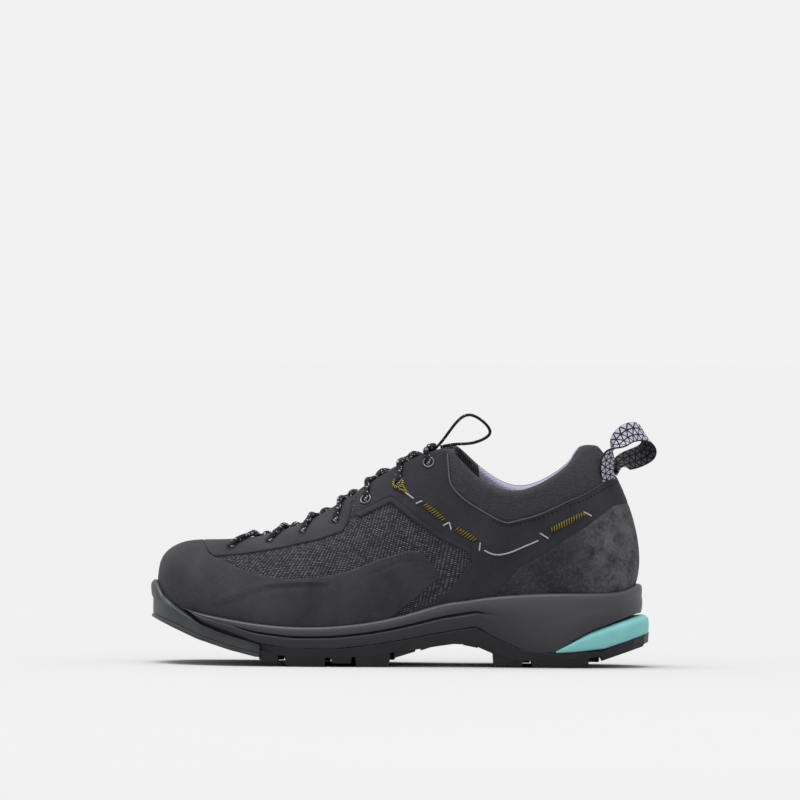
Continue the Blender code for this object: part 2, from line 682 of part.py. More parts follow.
def frame_on_upper(place, height, lift):
    """A point on the upper with the directions up its rib and round the shoe."""
    point = last(place, height, lift)
    normal = last_normal(place, height)
    up = last(place, height + 0.02, 0.0) - last(place, height - 0.02, 0.0)
    up = up / np.linalg.norm(up)
    return point, normal, up, np.cross(up, normal)


def make_eyelet(name, place, group, look):
    point, normal, up, along = frame_on_upper(place, 0.93, 0.35 * MM + EYELET_RIM)
    points, faces = [], []
    turns, sides = 12, 4
    for i in range(turns):
        turn = 2 * math.pi * i / turns
        out = math.cos(turn) * up + math.sin(turn) * along
        for k in range(sides):
            angle = 2 * math.pi * k / sides
            reach = EYELET_HOLE + EYELET_RIM * math.cos(angle)
            points.append(point + out * reach + normal * EYELET_RIM * 0.8 * math.sin(angle))
            n, m = (i + 1) % turns, (k + 1) % sides
            faces.append((i * sides + k, n * sides + k, n * sides + m, i * sides + m))
    return new_object(name, points, faces, group, look)


def ribbon(name, route, across, width, thick, group, look, count):
    """A flat band along a route. across gives the way its width runs at each point of the route."""
    line = spline_through(route, count)
    wide = spline_through(across, count)
    outer, inner = [], []
    for i in range(count):
        run = line[min(i + 1, count - 1)] - line[max(i - 1, 0)]
        side = wide[i] - run * (wide[i] @ run) / (run @ run)
        side = side / np.linalg.norm(side)
        face = np.cross(run / np.linalg.norm(run), side)
        spots = [line[i] + side * width * s for s in (-0.5, 0.0, 0.5)]
        outer.append([p + face * thick / 2 for p in spots])
        inner.append([p - face * thick / 2 for p in spots])
    return slab(name, np.array(outer), np.array(inner), group, look)


def from_side(along, out, height):
    return np.array([x_at(along), out * HALF_BALL, height * INSTEP_HEIGHT])


def make_pull_loop(group, look):
    route = [from_side(*row[:3]) for row in PULL_LOOP]
    return ribbon("pull_loop", route, [row[3:] for row in PULL_LOOP], WEB_WIDE, WEB_THICK, group, look, 25)


def cord(name, route, thick, group, look):
    """A free cord as a bevelled curve along a route of points."""
    curve = bpy.data.curves.new(name, "CURVE")
    curve.dimensions = "3D"
    curve.bevel_depth = thick / 2
    curve.bevel_resolution = 2
    curve.use_fill_caps = True
    line = curve.splines.new("POLY")
    line.points.add(len(route) - 1)
    for spot, point in zip(line.points, route):
        spot.co = (*map(float, point), 1.0)
    curve.materials.append(look)
    obj = bpy.data.objects.new(name, curve)
    group.objects.link(obj)
    return obj


def make_bow(group, look):
    cord("lace_knot", spline_through([from_side(*row) for row in KNOT], 5), KNOT_THICK, group, look)
    cord("lace_loop", spline_through([from_side(*row) for row in BOW], 22), BOW_THICK, group, look)


def main():
    clear_scene()
    group = collection("approach_shoe")
    nubuck = material("nubuck", (0.030, 0.030, 0.034), 0.80)
    tough = material("tough_suede", (0.040, 0.040, 0.045), 0.90)
    rough = material("rough_suede", (0.055, 0.055, 0.060), 0.95)
    mesh = material("mesh_fabric", (0.022, 0.022, 0.025), 0.90)
    foam = material("midsole_foam", (0.028, 0.028, 0.032), 0.60)
    rubber = material("rubber", (0.020, 0.021, 0.023), 0.70)
    bumper = material("bumper_rubber", (0.080, 0.085, 0.085), 0.60)
    teal = material("teal_foam", (0.120, 0.300, 0.300), 0.60)
    lining = material("lining", (0.42, 0.39, 0.56), 0.90)
    lace = material("lace_cord", (0.030, 0.030, 0.035), 0.90)
    webbing = material("webbing", (0.30, 0.29, 0.35), 0.90)
    metal = material("eyelet_metal", (0.150, 0.150, 0.160), 0.35, 1.0)
    make_upper(group, mesh)
    make_overlays(group, tough, nubuck, rough)
    make_midsole(group, foam)
    make_outsole(group, rubber)
    make_heel_insert(group, teal)
    make_toe_bumper(group, bumper)
    make_insole(group, lining)
    make_tongue(group, mesh)
    make_laces(group, lace)
    make_bow(group, lace)
    for number, (place, fitting) in enumerate(LACE_ROWS, 1):
        for side, spot in (("lateral", place), ("medial", LOOP - place)):
            if fitting == "ring":
                make_eyelet(f"eyelet_{side}_{number}", spot, group, metal)
    make_pull_loop(group, webbing)


main()
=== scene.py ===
import math

import bmesh
import bpy
import numpy as np
from mathutils import Matrix, Vector


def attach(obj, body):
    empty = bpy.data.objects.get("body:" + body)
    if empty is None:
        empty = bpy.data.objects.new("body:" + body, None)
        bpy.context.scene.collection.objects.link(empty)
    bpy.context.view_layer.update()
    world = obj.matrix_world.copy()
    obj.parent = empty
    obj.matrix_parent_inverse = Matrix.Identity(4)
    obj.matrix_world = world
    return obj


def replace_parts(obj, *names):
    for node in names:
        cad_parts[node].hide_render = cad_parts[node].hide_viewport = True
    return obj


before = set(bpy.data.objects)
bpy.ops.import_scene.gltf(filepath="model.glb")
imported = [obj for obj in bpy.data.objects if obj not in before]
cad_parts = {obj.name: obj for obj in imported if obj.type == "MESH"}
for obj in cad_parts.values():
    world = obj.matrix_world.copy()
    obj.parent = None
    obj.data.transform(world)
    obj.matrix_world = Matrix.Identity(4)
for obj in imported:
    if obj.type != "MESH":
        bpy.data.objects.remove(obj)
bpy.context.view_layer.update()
print("frame loaded")

mm = 0.001

# The shoe's driving sizes, the same as in the solid model
shoe = {
    "length": 276.5 * mm,
    "halfBall": 49.0 * mm,
    "instepHeight": 121.6 * mm,
    "heelOverhang": 46.4 * mm,
    "wall": 2.2 * mm,
    "collarPad": 4.5 * mm,
    "padDepth": 0.30,
    "soleOut": 3.4 * mm,
    "heelOut": 3.2 * mm,
}
ribStep = 0.1
wallDepth = -1.9 * mm - shoe["wall"]  # the upper's inner face, below the last's surface
insideDepth = wallDepth - 0.6 * mm  # what lies inside the upper starts here

# Each row is one section from toe to heel: foot along, lateral, medial, height; edge along, lateral,
# medial, height, lift; rise, flare, crown out, crown up. Shares of length, half ball and instep height.
sectionRows = (
    (0.992, -0.10, 0.10, 0.300, 0.855, -0.02, 0.02, 0.556, 0.000, 0.222, 0.057, 0.63, 0.033),
    (0.976, 0.31, 0.49, 0.290, 0.849, 0.08, 0.12, 0.559, 0.000, 0.222, 0.057, 0.57, 0.030),
    (0.937, 0.63, 0.76, 0.258, 0.826, 0.145, 0.17, 0.566, 0.000, 0.214, 0.053, 0.50, 0.020),
    (0.865, 0.86, 0.89, 0.220, 0.771, 0.180, 0.19, 0.594, 0.000, 0.200, 0.049, 0.42, 0.000),
    (0.747, 0.97, 0.90, 0.184, 0.682, 0.215, 0.22, 0.668, 0.000, 0.200, 0.045, 0.37, -0.025),
    (0.626, 0.93, 0.76, 0.186, 0.595, 0.255, 0.26, 0.790, 0.000, 0.222, 0.041, 0.35, -0.058),
    (0.514, 0.80, 0.61, 0.226, 0.510, 0.305, 0.31, 0.916, 0.000, 0.247, 0.031, 0.31, -0.100),
    (0.423, 0.69, 0.57, 0.284, 0.430, 0.365, 0.36, 0.988, 0.000, 0.263, 0.031, 0.24, -0.148),
    (0.372, 0.66, 0.57, 0.303, 0.392, 0.440, 0.42, 0.960, 0.040, 0.240, 0.035, 0.16, -0.160),
    (0.312, 0.65, 0.59, 0.323, 0.342, 0.570, 0.55, 0.858, 0.052, 0.214, 0.041, 0.08, -0.164),
    (0.200, 0.65, 0.63, 0.339, 0.257, 0.630, 0.61, 0.808, 0.012, 0.181, 0.061, 0.04, -0.148),
    (0.099, 0.55, 0.55, 0.342, 0.168, 0.500, 0.50, 0.920, 0.000, 0.181, 0.082, 0.10, -0.140),
    (0.048, 0.33, 0.33, 0.358, 0.129, 0.290, 0.29, 1.006, 0.000, 0.181, 0.122, 0.20, -0.140),
    (0.024, 0.00, 0.00, 0.382, 0.105, 0.000, 0.00, 1.014, 0.000, 0.184, 0.149, 0.286, -0.140),
)
loopCount = 2 * (len(sectionRows) - 1)

# Seam lines seen from the side, as (along, height)
foxingTop = (
    (0.925, 0.700), (0.908, 0.590), (0.888, 0.508), (0.868, 0.485), (0.835, 0.453), (0.793, 0.418),
    (0.760, 0.408), (0.722, 0.398), (0.650, 0.412), (0.597, 0.442), (0.543, 0.493), (0.482, 0.531),
    (0.468, 0.530), (0.455, 0.512), (0.421, 0.428), (0.400, 0.360), (0.380, 0.100),
)
foxingFoot = ((1.100, -0.500), (0.530, -0.100), (0.514, 0.230), (0.421, 0.405), (0.380, 0.500))
eyestayFoot = (
    (0.925, 0.590), (0.905, 0.540), (0.878, 0.497), (0.813, 0.512), (0.741, 0.540),
    (0.669, 0.578), (0.614, 0.620), (0.603, 0.690),
)
quarterFoot = (
    (0.620, 0.700), (0.583, 0.683), (0.523, 0.751), (0.472, 0.658), (0.418, 0.577), (0.370, 0.529),
    (0.358, 0.500), (0.350, 0.200), (0.325, 0.200), (0.320, 0.300), (0.305, 0.335), (0.284, 0.397),
    (0.261, 0.464), (0.226, 0.506), (0.189, 0.560), (0.127, 0.649), (0.096, 0.701), (0.071, 0.743),
    (0.000, 0.772),
)
quarterTop = (
    (0.440, 1.100), (0.409, 0.975), (0.406, 0.890), (0.400, 0.829), (0.377, 0.771), (0.341, 0.719),
    (0.305, 0.674), (0.282, 0.662), (0.251, 0.680), (0.179, 0.746), (0.137, 0.788), (0.096, 0.841),
    (0.067, 0.876), (0.000, 0.880),
)
gussetTop = (
    (0.440, 0.100), (0.423, 0.315), (0.405, 0.352), (0.389, 0.389), (0.370, 0.440), (0.358, 0.478),
    (0.340, 0.520),
)
midsoleFoot = (
    (1.000, 0.256), (0.932, 0.248), (0.897, 0.196), (0.848, 0.157), (0.790, 0.108), (0.719, 0.081),
    (0.638, 0.081), (0.558, 0.100), (0.500, 0.122), (0.429, 0.153), (0.358, 0.182), (0.345, 0.183),
    (0.323, 0.151), (0.285, 0.110), (0.246, 0.072), (0.218, 0.066), (0.182, 0.070), (0.156, 0.119),
    (0.117, 0.169), (0.065, 0.212), (0.024, 0.245), (0.000, 0.252),
)
bumperTop = (
    (1.000, 0.392), (0.992, 0.375), (0.977, 0.311), (0.952, 0.268), (0.932, 0.236), (0.897, 0.186),
    (0.854, 0.146), (0.780, 0.100),
)
toeFoot = ((1.000, 0.206), (0.908, 0.117), (0.842, 0.070), (0.790, 0.041))


def xAt(along):
    return shoe["heelOverhang"] - np.asarray(along) * shoe["length"]


def alongAt(x):
    return (shoe["heelOverhang"] - np.asarray(x)) / shoe["length"]


def lineHeight(line, x):
    points = sorted(line)
    return shoe["instepHeight"] * np.interp(alongAt(x), [p[0] for p in points], [p[1] for p in points])


def smoothStep(value, low, high):
    share = np.clip((np.asarray(value, float) - low) / (high - low), 0, 1)
    return share * share * (3 - 2 * share)


def unit(rows):
    return rows / np.linalg.norm(rows, axis=-1, keepdims=True)


def lengthsAlong(points):
    return np.concatenate([[0], np.cumsum(np.linalg.norm(np.diff(points, axis=0), axis=1))])


def splineAt(rows, bend, low, high, share):
    b = share[..., None]
    a = 1 - b
    return a * rows[low] + b * rows[high] + ((a**3 - a) * bend[low] + (b**3 - b) * bend[high]) / 6


class LoopSpline:
    def __init__(self, rows):
        self.rows = np.asarray(rows, float)
        after, before = np.roll(self.rows, -1, 0), np.roll(self.rows, 1, 0)
        one = np.eye(len(rows))
        system = 4 * one + np.roll(one, 1, 0) + np.roll(one, -1, 0)
        self.bend = np.linalg.solve(system, 6 * (after - 2 * self.rows + before))

    def __call__(self, place):
        count = len(self.rows)
        place = np.mod(np.asarray(place, float), count)
        low = np.floor(place).astype(int) % count
        return splineAt(self.rows, self.bend, low, (low + 1) % count, place - np.floor(place))


def sectionLoop():
    ball, tall = shoe["halfBall"], shoe["instepHeight"]
    feet, edges, handles = [], [], []
    for row, side in [(row, -1) for row in sectionRows] + [(row, 1) for row in sectionRows[-2:0:-1]]:
        footOut, edgeOut, lift = (row[1], row[5], 0) if side < 0 else (row[2], row[6], row[8])
        feet.append((xAt(row[0]), side * footOut * ball, row[3] * tall))
        edges.append((xAt(row[4]), side * edgeOut * ball, (row[7] + lift) * tall))
        handles.append((row[9] * tall, row[10] * ball, row[11] * ball, row[12] * tall))
    return LoopSpline(feet), LoopSpline(edges), LoopSpline(handles)


feetLine, edgeLine, handleLine = sectionLoop()


def outward(place):
    run = feetLine(np.asarray(place) + 1e-3) - feetLine(np.asarray(place) - 1e-3)
    return unit(np.stack([run[..., 1], -run[..., 0], np.zeros_like(run[..., 0])], axis=-1))


def bareLast(place, height):
    place, height = np.broadcast_arrays(np.asarray(place, float), np.asarray(height, float))
    foot, edge, handle = feetLine(place), edgeLine(place), handleLine(place)
    out = outward(place)
    up = np.array([0.0, 0.0, 1.0])
    low = foot + handle[..., 0:1] * up + handle[..., 1:2] * out
    high = edge + handle[..., 2:3] * out + handle[..., 3:4] * up
    h = height[..., None]
    g = 1 - h
    return g**3 * foot + 3 * g * g * h * low + 3 * g * h * h * high + h**3 * edge


def lastNormal(place, height):
    place, height = np.broadcast_arrays(np.asarray(place, float), np.asarray(height, float))
    low = np.clip(height - 1e-3, 0, 1)
    high = np.clip(height + 1e-3, 0, 1)
    roundShoe = bareLast(place + 1e-3, height) - bareLast(place - 1e-3, height)
    upRib = bareLast(place, high) - bareLast(place, low)
    return unit(np.cross(roundShoe, upRib))


def lastPoint(place, height, offset=0.0):
    offset = np.asarray(offset, float)
    return bareLast(place, height) + lastNormal(place, height) * offset[..., None]


def heightsOnLine(places, line):
    # Share up each rib where it first passes a seam line
    tries = np.linspace(0, 1, 241)
    points = bareLast(*np.meshgrid(places, tries, indexing="ij"))
    found = []
    for row in points[..., 2] - lineHeight(line, points[..., 0]):
        i = int(np.argmax(row > 0))
        if i > 0:
            found.append(tries[i - 1] + (tries[i] - tries[i - 1]) * row[i - 1] / (row[i - 1] - row[i]))
        else:
            found.append(0.0 if row[0] > 0 else 1.0)
    return np.array(found)


def fromToe(place):
    place = np.mod(place, loopCount)
    return np.minimum(place, loopCount - place)


def onFoot(place, side):
    # The same place on the lateral side, below 0, or on the medial one
    return place if side < 0 else loopCount - place


def lineDistance(points, line):
    # Side-view distance from each point to a line given as (along, height)
    spots = np.stack([points[..., 0], points[..., 2]], axis=-1)
    ends = np.array([(float(xAt(a)), h * shoe["instepHeight"]) for a, h in line])
    best = np.full(spots.shape[:-1], 1.0)
    for a, b in zip(ends[:-1], ends[1:]):
        run = b - a
        share = np.clip(((spots - a) @ run) / (run @ run), 0, 1)
        best = np.minimum(best, np.linalg.norm(spots - a - share[..., None] * run, axis=-1))
    return best


def splineThrough(points, count):
    rows = np.asarray(points, float)
    knots = len(rows)
    system, change = np.eye(knots), np.zeros_like(rows)
    for i in range(1, knots - 1):
        system[i, i - 1:i + 2] = (1, 4, 1)
        change[i] = 6 * (rows[i + 1] - 2 * rows[i] + rows[i - 1])
    bend = np.linalg.solve(system, change)
    place = np.linspace(0, knots - 1, count)
    low = np.minimum(place.astype(int), knots - 2)
    return splineAt(rows, bend, low, low + 1, place - low)


def evenly(points, step):
    points = np.asarray(points, float)
    gone = lengthsAlong(points)
    count = max(2, int(round(gone[-1] / step)) + 1)
    marks = np.linspace(0, gone[-1], count)
    return np.stack([np.interp(marks, gone, points[:, i]) for i in range(points.shape[1])], axis=1)


def newObject(name, data):
    made = bpy.data.objects.new(name, data)
    bpy.context.scene.collection.objects.link(made)
    return made


def newPiece(name, points, faces, looks, slots=None):
    mesh = bpy.data.meshes.new(name)
    mesh.from_pydata(np.asarray(points, float).tolist(), [], faces)
    for look in looks if isinstance(looks, list) else [looks]:
        mesh.materials.append(look)
    if slots is not None:
        mesh.polygons.foreach_set("material_index", np.asarray(slots, dtype=np.int32))
    mesh.polygons.foreach_set("use_smooth", np.ones(len(mesh.polygons), dtype=bool))
    obj = newObject(name, mesh)
    work = bmesh.new()
    work.from_mesh(mesh)
    bmesh.ops.recalc_face_normals(work, faces=work.faces)
    work.to_mesh(mesh)
    work.free()
    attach(obj, "root")
    return obj


def gridFaces(rows, cols, loopRows=False, loopCols=False):
    r = np.arange(rows if loopRows else rows - 1)
    c = np.arange(cols if loopCols else cols - 1)
    r, c = np.meshgrid(r, c, indexing="ij")
    r, c = r.ravel(), c.ravel()
    r2, c2 = (r + 1) % rows, (c + 1) % cols
    return np.stack([r * cols + c, r2 * cols + c, r2 * cols + c2, r * cols + c2], axis=1)


def gridPiece(name, grid, looks, loopRows=False, loopCols=False, slots=None, capRows=False):
    rows, cols = grid.shape[:2]
    faces = gridFaces(rows, cols, loopRows, loopCols).tolist()
    if capRows:
        faces += [list(range(cols)), list(range((rows - 1) * cols, rows * cols))]
    return newPiece(name, grid.reshape(-1, 3), faces, looks, slots)


def joinGrids(grids):
    # Points and faces of several stacks of rings, each closed at both ends
    points, faces, base = [], [], 0
    for grid in grids:
        rows, cols = grid.shape[:2]
        points.append(grid.reshape(-1, 3))
        faces += (gridFaces(rows, cols, False, True) + base).tolist()
        faces += [list(range(base, base + cols)), list(range(base + (rows - 1) * cols, base + rows * cols))]
        base += rows * cols
    return np.concatenate(points), faces


def markUv(piece, marks, period=(0.0, 0.0)):
    # UVs from one mark per point; a face that spans the joint of a closed form steps on by the period
    layer = piece.data.uv_layers.new(name="band")
    loops = piece.data.loops
    for face in piece.data.polygons:
        spots = [list(marks[loops[i].vertex_index]) for i in face.loop_indices]
        for axis in (0, 1):
            values = [spot[axis] for spot in spots]
            if period[axis] and len(spots) == 4 and max(values) - min(values) > 0.5 * period[axis]:
                for spot in spots:
                    spot[axis] += period[axis] if spot[axis] < 0.5 * period[axis] else 0.0
        for i, spot in zip(face.loop_indices, spots):
            layer.data[i].uv = spot


def gridMarks(grid, closed=False):
    # Millimetres along and across a grid of points
    ends = np.concatenate([grid, grid[:1]]) if closed else grid
    along = lengthsAlong(ends[:, grid.shape[1] // 3]) / mm
    steps = np.linalg.norm(np.diff(grid, axis=1), axis=2)
    up = np.concatenate([np.zeros((len(grid), 1)), np.cumsum(steps, axis=1)], axis=1) / mm
    return [(a, b) for a, row in zip(along, up) for b in row], along[-1]


def shader(name, colour, roughness, specular, sheen=0.0):
    look = bpy.data.materials.new(name)
    look.use_nodes = True
    node = look.node_tree.nodes["Principled BSDF"]
    node.inputs["Base Color"].default_value = (*colour, 1.0)
    node.inputs["Roughness"].default_value = roughness
    node.inputs["Sheen Weight"].default_value = sheen
    node.inputs["Specular IOR Level"].default_value = specular
    return look


class Nodes:
    # Small helper that adds and links shader nodes
    def __init__(self, look):
        self.tree = look.node_tree
        self.out = self.tree.nodes["Principled BSDF"]
        self.place = self.tree.nodes.new("ShaderNodeTexCoord").outputs["Object"]

    def add(self, kind, links=None, **values):
        node = self.tree.nodes.new(kind)
        for key, value in values.items():
            if hasattr(node, key):
                setattr(node, key, value)
            else:
                node.inputs[key.replace("_", " ")].default_value = value
        for key, source in (links or {}).items():
            self.tree.links.new(source, node.inputs[key])
        return node

    def noise(self, scale, detail=3.0, rough=0.5):
        node = self.add("ShaderNodeTexNoise", {"Vector": self.place}, Scale=scale, Detail=detail)
        node.inputs["Roughness"].default_value = rough
        return node.outputs["Fac"]

    def give(self, socket, value):
        if isinstance(value, bpy.types.NodeSocket):
            self.tree.links.new(value, socket)
        else:
            socket.default_value = (*value, 1) if isinstance(value, tuple) else value

    def math(self, operation, *values):
        node = self.add("ShaderNodeMath", operation=operation)
        for socket, value in zip(node.inputs, values):
            self.give(socket, value)
        return node.outputs[0]

    def times(self, a, b):
        return self.math("MULTIPLY", a, b)

    def plus(self, a, b):
        return self.math("ADD", a, b)

    def fold(self, a):
        return self.math("PINGPONG", a, 0.5)

    def fit(self, source, low, high):
        node = self.add("ShaderNodeMapRange", {"Value": source}, interpolation_type="SMOOTHSTEP")
        node.inputs["From Min"].default_value, node.inputs["From Max"].default_value = low, high
        return node.outputs["Result"]

    def ramp(self, source, low, high, start=0.0, end=1.0):
        node = self.add("ShaderNodeValToRGB", {"Fac": source})
        first, last = node.color_ramp.elements
        first.position, last.position = start, end
        first.color, last.color = (*low, 1), (*high, 1)
        return node.outputs["Color"]

    def blend(self, factor, a, b):
        node = self.add("ShaderNodeMix", data_type="RGBA")
        for i, value in ((0, factor), (6, a), (7, b)):
            self.give(node.inputs[i], value)
        return node.outputs[2]

    def bump(self, source, distance, strength=1.0, below=None):
        links = {"Height": source, "Normal": below} if below else {"Height": source}
        return self.add("ShaderNodeBump", links, Strength=strength, Distance=distance).outputs["Normal"]

    def split(self, source):
        return self.add("ShaderNodeSeparateXYZ", {"Vector": source}).outputs

    def uv(self):
        return self.split(self.add("ShaderNodeUVMap").outputs["UV"])

    def chance(self, x, y):
        # A random value for each square of a grid
        links = {"X": self.math("FLOOR", x), "Y": self.math("FLOOR", y)}
        corner = self.add("ShaderNodeCombineXYZ", links).outputs["Vector"]
        return self.add("ShaderNodeTexWhiteNoise", {"Vector": corner}).outputs["Value"]

    def to(self, key, source):
        self.tree.links.new(source, self.out.inputs[key])


def leatherLook(name, dark, light, grain, roughness, patch):
    look = shader(name, dark, roughness, 0.16, sheen=0.02)
    n = Nodes(look)
    fine = n.noise(grain, 6.0, 0.65)
    wide = n.noise(patch, 3.0, 0.6)
    mixed = n.plus(n.times(fine, 0.45), n.times(wide, 0.55))
    n.to("Base Color", n.ramp(mixed, dark, light, 0.36, 0.66))
    n.to("Roughness", n.plus(n.times(fine, 0.18), roughness - 0.09))
    pores = n.bump(n.noise(grain * 2.1, 5.0, 0.7), 0.00030, 0.55)
    n.to("Normal", n.bump(n.noise(grain * 0.22, 3.0), 0.0007, 0.35, pores))
    return look


def scuffedHighlightLook(name, dark, light, grain, roughness, patch):
    # Rough suede with lighter rubbed specks all over, and lighter patches gathered towards the back of the
    # heel; these are partly rubbed wear and partly a painted highlight on the counter's rounded back
    look = leatherLook(name, dark, light, grain, roughness, patch)
    n = Nodes(look)
    # Towards the back of the heel: painted highlight on the counter's rounded back, laid on as lighter patches
    back = n.fit(n.split(n.place)["X"], -0.006, 0.026)
    patches = n.ramp(n.noise(110.0, 8.0, 0.82), (0, 0, 0), (1, 1, 1), 0.38, 0.70)
    specks = n.ramp(n.noise(620.0, 4.0, 0.75), (0, 0, 0), (1, 1, 1), 0.50, 0.66)
    rubAndHighlight = n.times(n.times(back, patches), 0.62)
    rubAndHighlight = n.plus(rubAndHighlight, n.times(specks, 0.16))
    plain = n.out.inputs["Base Color"].links[0].from_socket
    n.to("Base Color", n.blend(rubAndHighlight, plain, (0.190, 0.186, 0.200)))
    return look


def meshLook(name, dark, fleck, width, height, slant, share=1.0, roughness=0.85):
    # Knit drawn in millimetres along and across the cloth: rows of small lumps, each lighter or darker
    look = shader(name, dark, roughness, 0.14)
    n = Nodes(look)
    spot = n.uv()
    wobble = n.times(n.math("SUBTRACT", n.noise(260.0, 2.0), 0.5), 0.9)
    rows = n.plus(n.times(spot["Y"], 1.0 / height), wobble)
    row = n.math("FLOOR", rows)
    run = n.plus(n.times(spot["X"], 1.0 / width), n.times(spot["Y"], slant / width))
    run = n.plus(run, n.times(row, 0.5))
    lump = n.times(n.fold(n.plus(run, wobble)), n.fold(rows))
    lump = n.times(lump, 4.0)
    chance = n.chance(run, row)
    bright = n.times(lump, n.plus(n.times(chance, share), 1.0 - 0.5 * share))
    n.to("Base Color", n.ramp(bright, dark, fleck, 0.10, 0.95))
    n.to("Normal", n.bump(lump, 0.0006, 0.8))
    return look


def rubberLook(name, dark, light, roughness, grain, gloss=0.22):
    look = shader(name, dark, roughness, gloss)
    n = Nodes(look)
    fine = n.noise(grain, 5.0, 0.6)
    wide = n.noise(55.0, 3.0, 0.6)
    mixed = n.plus(n.times(fine, 0.4), n.times(wide, 0.6))
    n.to("Base Color", n.ramp(mixed, dark, light, 0.35, 0.65))
    n.to("Roughness", n.plus(n.times(wide, 0.2), roughness - 0.1))
    n.to("Normal", n.bump(fine, 0.00025, 0.4))
    return look


meshFabric = meshLook("meshFabric", (0.015, 0.015, 0.017), (0.150, 0.150, 0.158), 1.9, 1.05, 0.7)
collarCloth = meshLook("collarCloth", (0.035, 0.034, 0.039), (0.086, 0.084, 0.093), 1.1, 0.8, 0.0)
tongueCloth = meshLook("tongueCloth", (0.010, 0.010, 0.012), (0.20, 0.20, 0.215), 1.5, 1.2, 0.6)
liningCloth = meshLook("liningCloth", (0.36, 0.345, 0.46), (0.64, 0.62, 0.77), 1.2, 0.9, 0.0, 0.6)
foxingSuede = leatherLook("foxingSuede", (0.023, 0.023, 0.026), (0.049, 0.049, 0.054), 1500.0, 0.88, 38.0)
eyestaySuede = leatherLook("eyestaySuede", (0.024, 0.024, 0.027), (0.042, 0.042, 0.046), 1700.0, 0.86, 60.0)
smoothNubuck = leatherLook("smoothNubuck", (0.018, 0.017, 0.022), (0.034, 0.033, 0.040), 2200.0, 0.78, 35.0)
roughSuede = scuffedHighlightLook("roughSuede", (0.016, 0.015, 0.019), (0.040, 0.038, 0.044), 1100.0, 0.94, 60.0)
outsoleRubber = rubberLook("outsoleRubber", (0.006, 0.0065, 0.008), (0.013, 0.014, 0.016), 0.50, 1500.0, 0.28)
bumperRubber = rubberLook("bumperRubber", (0.018, 0.022, 0.023), (0.040, 0.045, 0.048), 0.50, 1200.0, 0.4)
tealFoam = rubberLook("tealFoam", (0.172, 0.455, 0.465), (0.218, 0.520, 0.530), 0.45, 2500.0)


def skinOffset(place, height):
    # The padded collar swells above the side panel's seam
    points = bareLast(place, height)
    above = (points[..., 2] - lineHeight(quarterTop, points[..., 0])) / (12 * mm)
    swell = np.clip(above, 0, 1) ** 0.5 * (1 - 0.4 * smoothStep(above, 1.0, 2.2))
    return 1.6 * mm * smoothStep(fromToe(place), 7.3, 8.6) * swell


def collarShare(place):
    return smoothStep(fromToe(place), 8.0, 9.0)


upperValues = {
    "skin": -0.9 * mm, "outerRows": 56, "innerRows": 40, "rimRows": 9, "rimDrop": 0.052,
    "liningFrom": 5, "knitTo": 8.95,  # rim row where the lining starts, and rib where it gives way to knit
}


def ribGrid(places, heights):
    # The padded collar starts a little below the edge, so that its round rim ends there
    place, height = np.meshgrid(places, heights, indexing="ij")
    drop = upperValues["rimDrop"] * collarShare(place) * (1 - 0.6 * smoothStep(fromToe(place), 11.0, 12.2))
    return place, height * (1 - drop)


def makeUpper():
    v = upperValues
    places = np.arange(0, loopCount, ribStep)
    place, height = ribGrid(places, np.linspace(0, 1, v["outerRows"]))
    outer = lastPoint(place, height, v["skin"] + skinOffset(place, height))
    place, height = ribGrid(places, np.linspace(1, 0, v["innerRows"]))
    pad = smoothStep(height, 1 - shoe["padDepth"], 1 - 0.35 * shoe["padDepth"]) * collarShare(place)
    inner = lastPoint(place, height, wallDepth - shoe["collarPad"] * pad)
    a, b = outer[:, -1], inner[:, 0]
    up = unit(lastPoint(places, 1.0, -3 * mm) - lastPoint(places, 0.97, -3 * mm))
    up = up * 0.42 * np.linalg.norm(a - b, axis=1)[:, None]
    turns = np.linspace(0, math.pi, v["rimRows"] + 2)[1:-1]
    rim = [(a + b) / 2 + (a - b) / 2 * math.cos(t) + up * math.sin(t) for t in turns]
    grid = np.concatenate([outer, np.stack(rim, axis=1), inner], axis=1)
    rows, cols = grid.shape[:2]
    first = gridFaces(rows, cols, True)[:, 0]
    column, away, middle = first % cols, fromToe(places[first // cols]), grid.reshape(-1, 3)[first]
    aboveSeam = (middle[:, 2] > lineHeight(quarterTop, middle[:, 0]) - 3 * mm) & (away > 6.9)
    looks = [meshFabric, collarCloth, liningCloth, tongueCloth]
    knit, collar, lining, soft = range(len(looks))
    slots = np.where(aboveSeam | (column >= v["outerRows"]), collar, knit)
    inside = np.where(away < v["knitTo"], soft, lining)
    slots = np.where(column < v["outerRows"] + v["liningFrom"], slots, inside)
    piece = gridPiece("upperShell", grid, looks, True, slots=slots)
    marks, around = gridMarks(grid, True)
    markUv(piece, marks, (around, 0.0))
    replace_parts(piece, "upper")


def rolledColumns(low, high, ribLength, thick, count, rollLow, rollHigh):
    # Heights and depths across a panel, with a rolled edge at both borders
    drops = ((0.0, 1.15), (0.0, 0.55), (0.25, 0.18), (0.8, 0.0))
    heights, depths = [], []
    for away, drop in drops:
        heights.append(low + away * mm / ribLength)
        depths.append(-drop * thick * rollLow)
    start, end = low + 0.8 * mm / ribLength, high - 0.8 * mm / ribLength
    for share in np.linspace(0, 1, count + 2)[1:-1]:
        heights.append(start + (end - start) * share)
        depths.append(np.zeros(low.shape))
    for away, drop in drops[::-1]:
        heights.append(high - away * mm / ribLength)
        depths.append(-drop * thick * rollHigh)
    return np.stack(heights, axis=1), np.stack(depths, axis=1)


def level(value):
    return lambda places: np.full(len(places), value)


def upTo(line, more=0.0):
    return lambda places: heightsOnLine(places, line) + more


